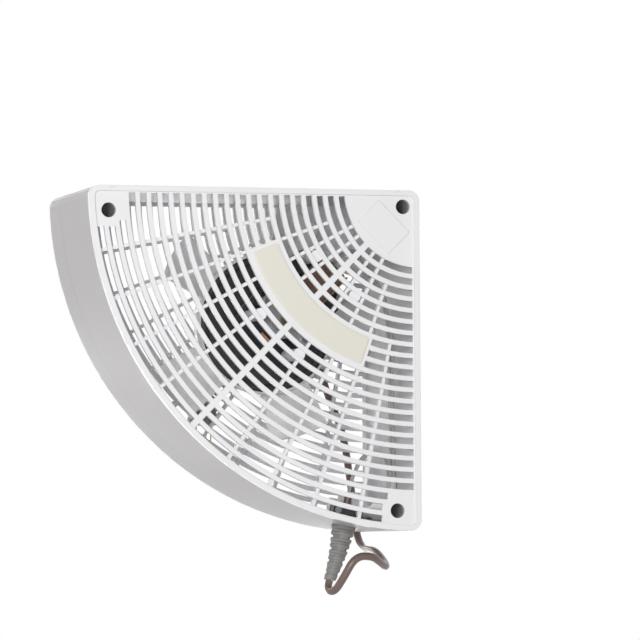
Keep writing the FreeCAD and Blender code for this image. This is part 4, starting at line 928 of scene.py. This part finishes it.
# %% Strap
STRAP_MIDDLE = (23.45, 82.75, -135.26)
STRAP_REACH = np.array([-0.65276, 0, -0.75757])
STRAP_WIDTH = np.array([0.75757, 0, -0.65276])
STRAP_AXES = (STRAP_REACH, (0, 1, 0), STRAP_WIDTH)
STRAP_HALF = (19.3, 16.95)
STRAP_CORNER = 4
STRAP_SECTION = np.array([
    (0, -2.2), (0, 2.2), (-0.3, 2.5), (-0.9, 2.5),
    (-1.2, 2.2), (-1.2, -2.2), (-0.9, -2.5), (-0.3, -2.5),
])
HEAD_AXES = (STRAP_WIDTH, (0, 1, 0), -STRAP_REACH)
HEAD_PLACE = placed(np.array([19, 5, 0]), STRAP_MIDDLE, STRAP_AXES)
HEAD = {"half_wide": 3.6, "half_tall": 3.4, "radius": 0.9, "start": -4.6, "stop": 0}
END_AXES = (STRAP_WIDTH, STRAP_REACH, (0, 1, 0))
END_PLACE = placed(np.array([21.4, 5, 0]), STRAP_MIDDLE, STRAP_AXES)
END = {"half_wide": 2.3, "half_tall": 0.6, "radius": 0.4, "start": -3, "stop": 11, "edge": 0.2}


def strap_band(count=160):
    """Section of depth and width carried round a rounded rectangle."""
    centre, outward = rounded_loop(*STRAP_HALF, STRAP_CORNER, count)
    depth, width = STRAP_SECTION.T[:, :, None]
    return raised(centre + (STRAP_CORNER + depth)[:, :, None] * outward, width)


strap_skins = [
    skin(placed(strap_band(), STRAP_MIDDLE, STRAP_AXES), along=True),
    skin(placed(bar(**HEAD), HEAD_PLACE, HEAD_AXES)),
    skin(placed(bar(**END), END_PLACE, END_AXES)),
]
strap = make_piece("strap", strap_skins, white_tie, "housing", "white_tie", "cord_tie")

# %% [markdown]
# ## Label plate
# The bare cream plate follows the rings, with small rounded corners and a soft front edge. It is a
# rounded rectangle bent round the corner: one coordinate becomes the reach and the other the angle. Its
# rows shrink to the line along its middle, which closes the front and the back without a pole.

# %% Label
LABEL_REACH = 140.6
LABEL_ANGLE = math.radians(45.35)
LABEL_HALF = (11.6, 61.7)
LABEL_CORNER = 2
LABEL_BACK = -68
LABEL_ROWS = [
    (1, 2, 0), (0, 2, 0), (0, 0, 0), (0, 0, 0.5),
    (0, 0.12, 0.68), (0, 0.35, 0.8), (0, 2, 0.8), (1, 2, 0.8),
]


def label_surface(count=320):
    """Rows of shrink, inset and height round a rounded rectangle, bent so that it follows the rings."""
    centre, outward = rounded_loop(*LABEL_HALF, LABEL_CORNER, count)
    shrink, inset, height = np.array(LABEL_ROWS, float).T[:, :, None]
    room = np.array(LABEL_HALF) - LABEL_CORNER
    keep = 1 - shrink[:, :, None] * room[0] / room
    flat = centre * keep + (LABEL_CORNER - inset)[:, :, None] * outward
    reach = LABEL_REACH + flat[..., 0]
    angle = LABEL_ANGLE + flat[..., 1] / LABEL_REACH
    across = HALF_SIDE - reach * np.cos(angle)
    return np.stack([across, LABEL_BACK - height + 0 * reach, -reach * np.sin(angle)], axis=-1)


make_piece(
    "bare_label", [skin(label_surface())], cream_label, "housing", "cream_label",
    "label_plate", crisp=50,
)

# %% [markdown]
# ## Hub
# The charcoal hub is a shallow cup that is pressed on the shaft. Turning a profile gives its rounded
# rim, the ring-shaped recess in its face and the boss, as a lathe would. Six ribs behind carry the
# boss, and a rib isn't round, so each is a rounded bar.

# %% Hub
HUB_PROFILE = [
    (2.55, 30), (9.5, 30), (10, 30.3), (10.3, 30.9), (50.5, 30.9), (51, 30.4), (51.6, 30),
    (55, 30), (56, 30.25), (56.7, 30.9), (57, 31.8), (57, 44.6), (56.6, 45), (54.9, 45),
    (54.5, 44.6), (54.5, 33.3), (53.7, 32.5), (8, 32.5), (7, 33.5), (7, 45), (2.55, 45),
]
HUB_RIBS = 6
ROUND_STEPS = 128
RIB = {
    "half_wide": 0.9, "half_tall": 4.4, "radius": 0.4, "start": 6.5, "stop": 54.8,
    "edge": 0.2, "count": 24,
}
RIB_DEPTH = 36.4


def spoke(turn, local):
    """Turns a bar's points about the axis: its length is the reach, and its height the depth."""
    across, upward, reach = np.moveaxis(local, -1, 0)
    x = reach * np.cos(turn) - across * np.sin(turn)
    y = reach * np.sin(turn) + across * np.cos(turn)
    return np.stack([x, y, upward + RIB_DEPTH], axis=-1)


rib = bar(**RIB)
hub_skins = [skin(placed(turned(HUB_PROFILE, ROUND_STEPS), MOTOR_PLACE, SPIN_AXES), along=True)]
hub_skins += [
    skin(placed(spoke(turn, rib), MOTOR_PLACE, SPIN_AXES)) for turn in full_turn(HUB_RIBS)
]
make_piece("hub", hub_skins, charcoal_hub, "rotor", "charcoal_hub", "fan_hub", crisp=40)

# %% [markdown]
# ## Blades
# Five white blades stand on a ring that fits over the hub. Each is a curved section, carried from ring
# to tip while it grows and flattens. The solid ends in square edges; here the section's thickness runs
# out in a rounded edge all round, and the points are drawn to one cylinder at the tip.

# %% Blades
RING = [(57.05, -7.5), (59, -7.5), (59.25, -7.2), (59.25, 7.2), (59, 7.5), (57.05, 7.5)]
BLADES = 5
BLADE_MIDDLE = (33.5, 21.5, -106.5)
BLADE_SPAN = (45.6, 102.9)
BLADE_CHORD = (40, 54)
BLADE_PITCH = (34, 24)
BLADE_CAMBER = 3
BLADE_HALF = 1
BLADE_START = 58.2
BLADE_TIP = 98
BLADE_ROUND = 1.2
EDGE_POWER = 10


def blade_section(chord, pitch, wave, thick):
    """A parabola with a thickness that runs out, turned by its pitch: depth and sideways place."""
    run = chord / 2 * np.cos(wave)
    face = np.sign(np.sin(wave)) * np.sqrt(1 - np.cos(wave) ** EDGE_POWER)
    depth = BLADE_CAMBER * (0.5 - np.cos(wave) ** 2) + thick * face
    turn = math.radians(pitch)
    return np.stack([
        depth * math.cos(turn) - run * math.sin(turn),
        depth * math.sin(turn) + run * math.cos(turn),
    ], axis=-1)


def blade_surface(count=80, rows=24, passes=3):
    """Sections ruled from the inner to the outer one, each point pushed out to its row's cylinder."""
    wave = full_turn(count)
    quarter = np.linspace(0, np.pi / 2, EDGE_STEPS)
    length = np.linspace(BLADE_START, BLADE_TIP - BLADE_ROUND, rows)[:-1]
    tip = BLADE_TIP - BLADE_ROUND * (1 - np.sin(quarter))
    reach = np.concatenate([[BLADE_START], length, tip])[:, None]
    thick = np.concatenate([[0], np.ones(rows - 1), np.cos(quarter)])[:, None] * BLADE_HALF
    ends = zip(BLADE_CHORD, BLADE_PITCH)
    inner, outer = (blade_section(chord, pitch, wave, thick) for chord, pitch in ends)
    first, last = BLADE_SPAN
    along = reach + 0 * wave
    for _ in range(passes):
        share = ((along - first) / (last - first))[:, :, None]
        section = inner * (1 - share) + outer * share
        along = np.sqrt(reach**2 - section[..., 1] ** 2)
    return np.stack([along, section[..., 0], section[..., 1]], axis=-1)


def spun(points, turn):
    """Points turned about the fan's axis, which lies along the depth."""
    x, y, z = np.moveaxis(points, -1, 0)
    across = x * np.cos(turn) + z * np.sin(turn)
    return np.stack([across, y, z * np.cos(turn) - x * np.sin(turn)], axis=-1)


blade = blade_surface()
blade_skins = [skin(placed(turned(RING, ROUND_STEPS), BLADE_MIDDLE, SPIN_AXES), along=True)]
blade_skins += [skin(spun(blade, turn) + BLADE_MIDDLE) for turn in full_turn(BLADES)]
make_piece("blades", blade_skins, white_blade, "rotor", "white_blade", "blade_ring", crisp=40)

# %% [markdown]
# ## World
# The fan is shown in a white studio. The world looks white to the camera, in reflections and through
# glass, but lights the fan at a plain level: Light Path tells the rays apart, so no lamp has to be
# raised for a white background.

# %% World
AMBIENT = 0.42
SHOWING_RAYS = ("Camera", "Glossy", "Transmission")


def seen_ray(graph):
    """1 for rays that show the background itself: from the camera, in gloss and through glass."""
    rays = [graph.node("ShaderNodeLightPath", output=f"Is {kind} Ray") for kind in SHOWING_RAYS]
    return rays[0].math("MAXIMUM", rays[1]).math("MAXIMUM", rays[2])


world = bpy.data.worlds.new("studio")
world.use_nodes = True
scene.world = world
sky = Graph(world.node_tree)
sky_shader = world.node_tree.nodes["Background"]
sky_shader.inputs["Color"].default_value = (1, 1, 1, 1)
sky.feed(sky_shader.inputs["Strength"], AMBIENT + seen_ray(sky) * (1 - AMBIENT))
print("world: strength", AMBIENT, "on the fan")

# %% [markdown]
# ## Floor
# The fan hangs high, so the floor lies well below it. For the same rays its paper is mixed with a white
# glow, and a little of the lit paper is left in, so that a shadow on it still shows.

# %% Floor
FLOOR_DROP = 1.7
FLOOR_SIZE = 14
PAPER = (0.82, 0.82, 0.82, 1)
GLOW_SHARE = 0.97
floor_z = cad_box[0].z - FLOOR_DROP
corners = np.array([(-1, -1, 0), (1, -1, 0), (1, 1, 0), (-1, 1, 0)]) * FLOOR_SIZE / 2
floor_mesh = bpy.data.meshes.new("floor")
floor_mesh.from_pydata((corners + (0, 0, floor_z)).tolist(), [], [(0, 1, 2, 3)])
floor = bpy.data.objects.new("floor", floor_mesh)
scene.collection.objects.link(floor)
paper = Finish("floor_paper", Base_Color=PAPER, Roughness=0.9)
glow = paper.node("ShaderNodeEmission", None, {"Color": (1, 1, 1, 1), "Strength": 1})
lit = Value(paper, paper.shader.outputs[0])
shown = paper.node("ShaderNodeMixShader", None, {0: seen_ray(paper) * GLOW_SHARE, 1: lit, 2: glow})
paper.feed(paper.tree.nodes["Material Output"].inputs["Surface"], shown)
floor_mesh.materials.append(paper.material)
print("floor: at", round(floor_z, 3), "m")

# %% [markdown]
# ## Lamps
# Three soft lamps look at the fan's middle: a key and a fill in front, and a wide one behind, whose
# light comes through the slots. Each row gives a lamp's place and size in metres and its power in
# watts.

# %% Lamps
AIM = Vector((0, 0, -0.14))
LAMPS = {
    "key": ((-1.2, -2.1, 0.1), 0.5, 22),
    "fill": ((-0.64, -2.2, -0.2), 0.5, 13),
    "back": ((0.1, 2.1, -0.14), 1.4, 29),
}
for name, (place, size, power) in LAMPS.items():
    lamp_data = bpy.data.lights.new(name, "AREA")
    lamp_data.size = size
    lamp_data.energy = power
    lamp = bpy.data.objects.new(name, lamp_data)
    lamp.location = place
    lamp.rotation_euler = (AIM - lamp.location).to_track_quat("-Z", "Y").to_euler()
    scene.collection.objects.link(lamp)
scene.view_settings.view_transform = "Standard"
print("lamps:", ", ".join(LAMPS))

# %% [markdown]
# ## Finish
# The view layer is updated, so that every object stands at its current place.

# %% Finish
bpy.context.view_layer.update()
